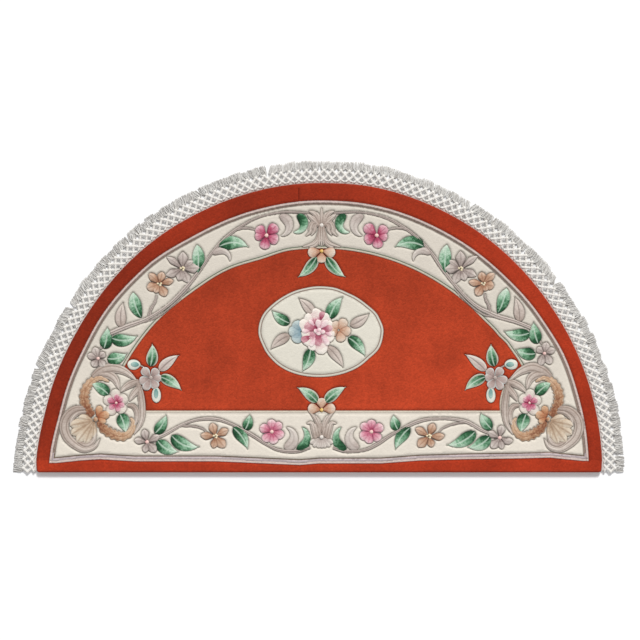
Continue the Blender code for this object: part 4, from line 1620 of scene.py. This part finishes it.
def twisted(start, end, phase):
    """Two plies wound round each line from start to end, each given as pitches, out and up."""
    t = np.linspace(0, 1, NET_STEPS + 1)
    line = [a[:, None] + (b - a)[:, None] * t for a, b in zip(start, end)]
    sag = 0.25 * MM * np.sin(math.pi * t)
    pitch_size = math.pi * (RUG_HALF_WIDTH + RUG_DEPTH) / 2 / PITCHES
    plies = []
    for half_turn in (0.0, math.pi):
        wind = TURNS_OF_TWIST * 2 * math.pi * t + phase[:, None] + half_turn
        pitches = line[0] + 0.75 * PLY_RADIUS / pitch_size * np.cos(wind)
        plies.append(beside_arc(pitches, line[1], line[2] + 0.45 * PLY_RADIUS * np.sin(wind) - sag))
    return np.concatenate(plies)


# %% The net's cords
columns = np.arange(PITCHES)
middles = columns + 0.5
slack = strands.uniform(-0.035, 0.035, (3, PITCHES + 1))
knot_x = (middles + slack[0, :-1], np.arange(PITCHES + 1) + slack[1], middles + slack[2, :-1])
knot_x[1][[0, -1]] = (0.10, PITCHES - 0.10)
flat_line = np.ones(PITCHES)
cords = []
for hand in (-1, 1):
    ends = columns + (hand > 0)
    phase = strands.uniform(0, 6.28, (3, PITCHES))
    places = (
        (middles + hand * LEG_SPREAD, HEADING_OUT, knot_x[0], KNOT_ROWS[0]),
        (knot_x[0], KNOT_ROWS[0], knot_x[1][ends], KNOT_ROWS[1]),
        (knot_x[1][ends], KNOT_ROWS[1], knot_x[2], KNOT_ROWS[2]),
    )
    for (from_x, from_out, to_x, to_out), turn in zip(places, phase):
        cords.append(twisted(
            (from_x, from_out * flat_line, NET_HEIGHT * flat_line),
            (to_x, to_out * flat_line, NET_HEIGHT * flat_line), turn,
        ))
cords = np.concatenate(cords)
cord_points, cord_faces = tubes(cords, np.full(cords.shape[:2], PLY_RADIUS), 5)
cord_points[:, 2] = NET_HEIGHT + (cord_points[:, 2] - NET_HEIGHT) * FLATTENED
net = solid("fringe_net", cord_points, cord_faces, "net_fringe", [cotton])
print("net faces:", len(cord_faces))

# %% The heading
# millimetres out and up of each heading cord
HEADING = ((1.0, 3.0), (3.0, 4.2), (5.1, 5.0), (7.2, 5.6))
HEADING_RADIUS = 1.25 * MM
heading_pitches = np.linspace(0.12, PITCHES - 0.12, PITCHES * 5)
heading_lines = []
for out, up in HEADING:
    ripple = 0.12 * MM * np.sin(heading_pitches * 2 * math.pi * 2.5 + out)
    heading_lines.append(beside_arc(heading_pitches, out * MM + ripple, up * MM + ripple))
heading_lines = np.array(heading_lines)
head_points, head_faces = tubes(heading_lines, np.full(heading_lines.shape[:2], HEADING_RADIUS), 8)
heading = solid("fringe_heading", head_points, head_faces, "net_fringe", [cotton])
print("heading faces:", len(head_faces))

# %% [markdown]
# ### Knots
#
# A knot is a short fat coil where the strands are tied. A little ball with an uneven surface,
# wider than high, is enough at this size.

# %% Knots
KNOT_RINGS, KNOT_SIDES = 7, 10
# half widths of the three rows' knots in millimetres, and their half depth
KNOT_HALF_WIDTHS = (3.9, 3.9, 4.2)
KNOT_HALF_DEPTH = 4.0 * MM


def ball_lines(pitches, out, half_width, half_depth, height):
    """Knots as short tubes: their lines and radii, along the way out from the rug."""
    t = np.linspace(-1, 1, KNOT_RINGS)
    fat = np.sqrt(np.clip(1 - (0.97 * t) ** 2, 0.03, 1))
    lines = beside_arc(
        np.repeat(pitches[:, None], KNOT_RINGS, axis=1), out + half_depth * t[None, :], height
    )
    lump = 1 + strands.uniform(-0.14, 0.14, (len(pitches), KNOT_RINGS))
    return lines, half_width * fat * lump


knot_lines, knot_radii = [], []
for x, out, size in zip(knot_x, KNOT_ROWS, KNOT_HALF_WIDTHS):
    lines, radii = ball_lines(x, out, size * MM, KNOT_HALF_DEPTH, NET_HEIGHT)
    knot_lines.append(lines)
    knot_radii.append(radii)
knot_points, knot_faces = tubes(np.concatenate(knot_lines), np.concatenate(knot_radii), KNOT_SIDES)
knot_points[:, 2] = NET_HEIGHT + (knot_points[:, 2] - NET_HEIGHT) * FLATTENED
knots = solid("fringe_knots", knot_points, knot_faces, "net_fringe", [cotton])
print("knots:", sum(len(x) for x in knot_x))

for piece in (net, heading, knots):
    point_value(piece, "dye", np.full(len(piece.data.vertices), 0.7, np.float32))

# %% [markdown]
# ### Tassels
#
# Under each knot of the last row hang the cut ends, about twenty yarns that fan out and lie on
# the floor. Where the rug was folded in storage some tassels part to the two sides, which shows
# at five places of the arc.

# %% Tassel yarns
YARNS = 22
YARN_STEPS = 7
YARN_RADIUS = 1.05 * MM
# how much a tassel, and a yarn in it, may fall short of the full depth
TASSEL_SHORT, YARN_SHORT = 5.5 * MM, 2.6 * MM
TASSEL_HEIGHT = 3.6 * MM
# degrees round the arc, how far the tassels part in pitches
PARTINGS = ((39.0, 0.35), (59.5, 0.32), (100.6, 0.5), (146.6, 0.6), (159.4, 0.45))
PARTING_REACH = 3.0


def parting(pitches):
    """How far a tassel leans along the arc, in pitches."""
    lean = 0 * pitches
    for degrees, strength in PARTINGS:
        away = pitches - degrees / 180 * PITCHES
        lean += np.copysign(strength, away) * np.exp(-np.abs(away) / PARTING_REACH)
    return lean


# %% The tassels
place = np.repeat(knot_x[2], YARNS)
fan = np.tile(np.linspace(-1, 1, YARNS), PITCHES) + strands.uniform(-0.10, 0.10, len(place))
swing = strands.normal(0.0, 0.14, PITCHES).repeat(YARNS) + parting(place)
short = strands.uniform(0, TASSEL_SHORT, PITCHES).repeat(YARNS)
length = FRINGE_DEPTH - SEWN_GAP - YARN_RADIUS - short
length -= strands.uniform(0, YARN_SHORT, len(place))
layer = strands.uniform(0, 1, len(place))
t = np.linspace(0, 1, YARN_STEPS + 1)
spread = 0.14 + 0.32 * np.sin(math.pi / 2 * np.clip(t * 3.0, 0, 1)) + 0.06 * t
curl = strands.uniform(-0.09, 0.09, (len(place), 1)) * np.sin(math.pi * t * 1.7)
yarn_x = place[:, None] + fan[:, None] * spread + swing[:, None] * t ** 1.3 + curl
yarn_out = KNOT_ROWS[2] + (length[:, None] - KNOT_ROWS[2]) * t
yarn_up = YARN_RADIUS + layer[:, None] * TASSEL_HEIGHT * (1 - 0.45 * t)
yarn_x = np.clip(yarn_x, 0.06, PITCHES - 0.06)
yarn_lines = beside_arc(yarn_x, yarn_out, yarn_up)
yarn_radii = YARN_RADIUS * (1 - 0.35 * t ** 3) * np.ones((len(place), 1))
yarn_points, yarn_faces = tubes(yarn_lines, yarn_radii, 4)
tassels = solid("fringe_tassels", yarn_points, yarn_faces, "net_fringe",
                [tassel_cotton])
# the lower a yarn lies, the darker it is painted: painted shade under the yarns above, with a random
# part
yarn_shade_and_tone = (0.65 * layer + 0.35 * strands.uniform(0, 1, len(place))).repeat((YARN_STEPS + 1) * 4)
point_value(tassels, "dye", yarn_shade_and_tone.astype(np.float32))
print("tassel yarns:", len(place), "faces:", len(yarn_faces))

# %% [markdown]

# %% [markdown]
# ## Camera, floor and light
#
# The photograph looks straight down on the rug from far enough that nothing leans. A long lens
# does the same. The light comes from beyond the arc, so that each carved edge has a soft shadow
# below it, and a bright sky fills the grooves.

# %% Camera
PICTURE_WIDTH = 1.555
PICTURE_MIDDLE = (0.0012, -0.0104)
LENS, SENSOR = 120.0, 36.0
camera = placed("camera", bpy.data.cameras.new("camera"))
camera.data.lens = LENS
camera.data.sensor_width = SENSOR
camera.location = (*PICTURE_MIDDLE, PILE_TOP + PICTURE_WIDTH * LENS / SENSOR)
bpy.context.scene.camera = camera
print("camera height:", round(camera.location.z, 3))

# %% Floor and light
FLOOR_HALF = 30.0
corners = [(x * FLOOR_HALF, y * FLOOR_HALF, 0.0) for x, y in ((-1, -1), (1, -1), (1, 1), (-1, 1))]
floor_mesh = bpy.data.meshes.new("floor")
floor_mesh.from_pydata(corners, [], [(0, 1, 2, 3)])
floor_mesh.materials.append(bpy.data.materials.new("floor paper, white"))
floor_mesh.materials[0].use_nodes = True
paper = floor_mesh.materials[0].node_tree.nodes["Principled BSDF"]
paper.inputs["Base Color"].default_value = linear("#fefefe")
paper.inputs["Roughness"].default_value = 0.9
floor = placed("floor", floor_mesh)

key = placed("key", bpy.data.lights.new("key", "SUN"))
key.data.energy = 2.75
key.data.angle = math.radians(14)
key.rotation_euler = (math.radians(-46), math.radians(14), 0.0)
sky = bpy.data.worlds.new("sky")
sky.use_nodes = True
sky.node_tree.nodes["Background"].inputs["Color"].default_value = linear("#fdfdff")
sky.node_tree.nodes["Background"].inputs["Strength"].default_value = 0.50
bpy.context.scene.world = sky
bpy.context.scene.view_settings.view_transform = "Standard"
print("sun strength:", key.data.energy)
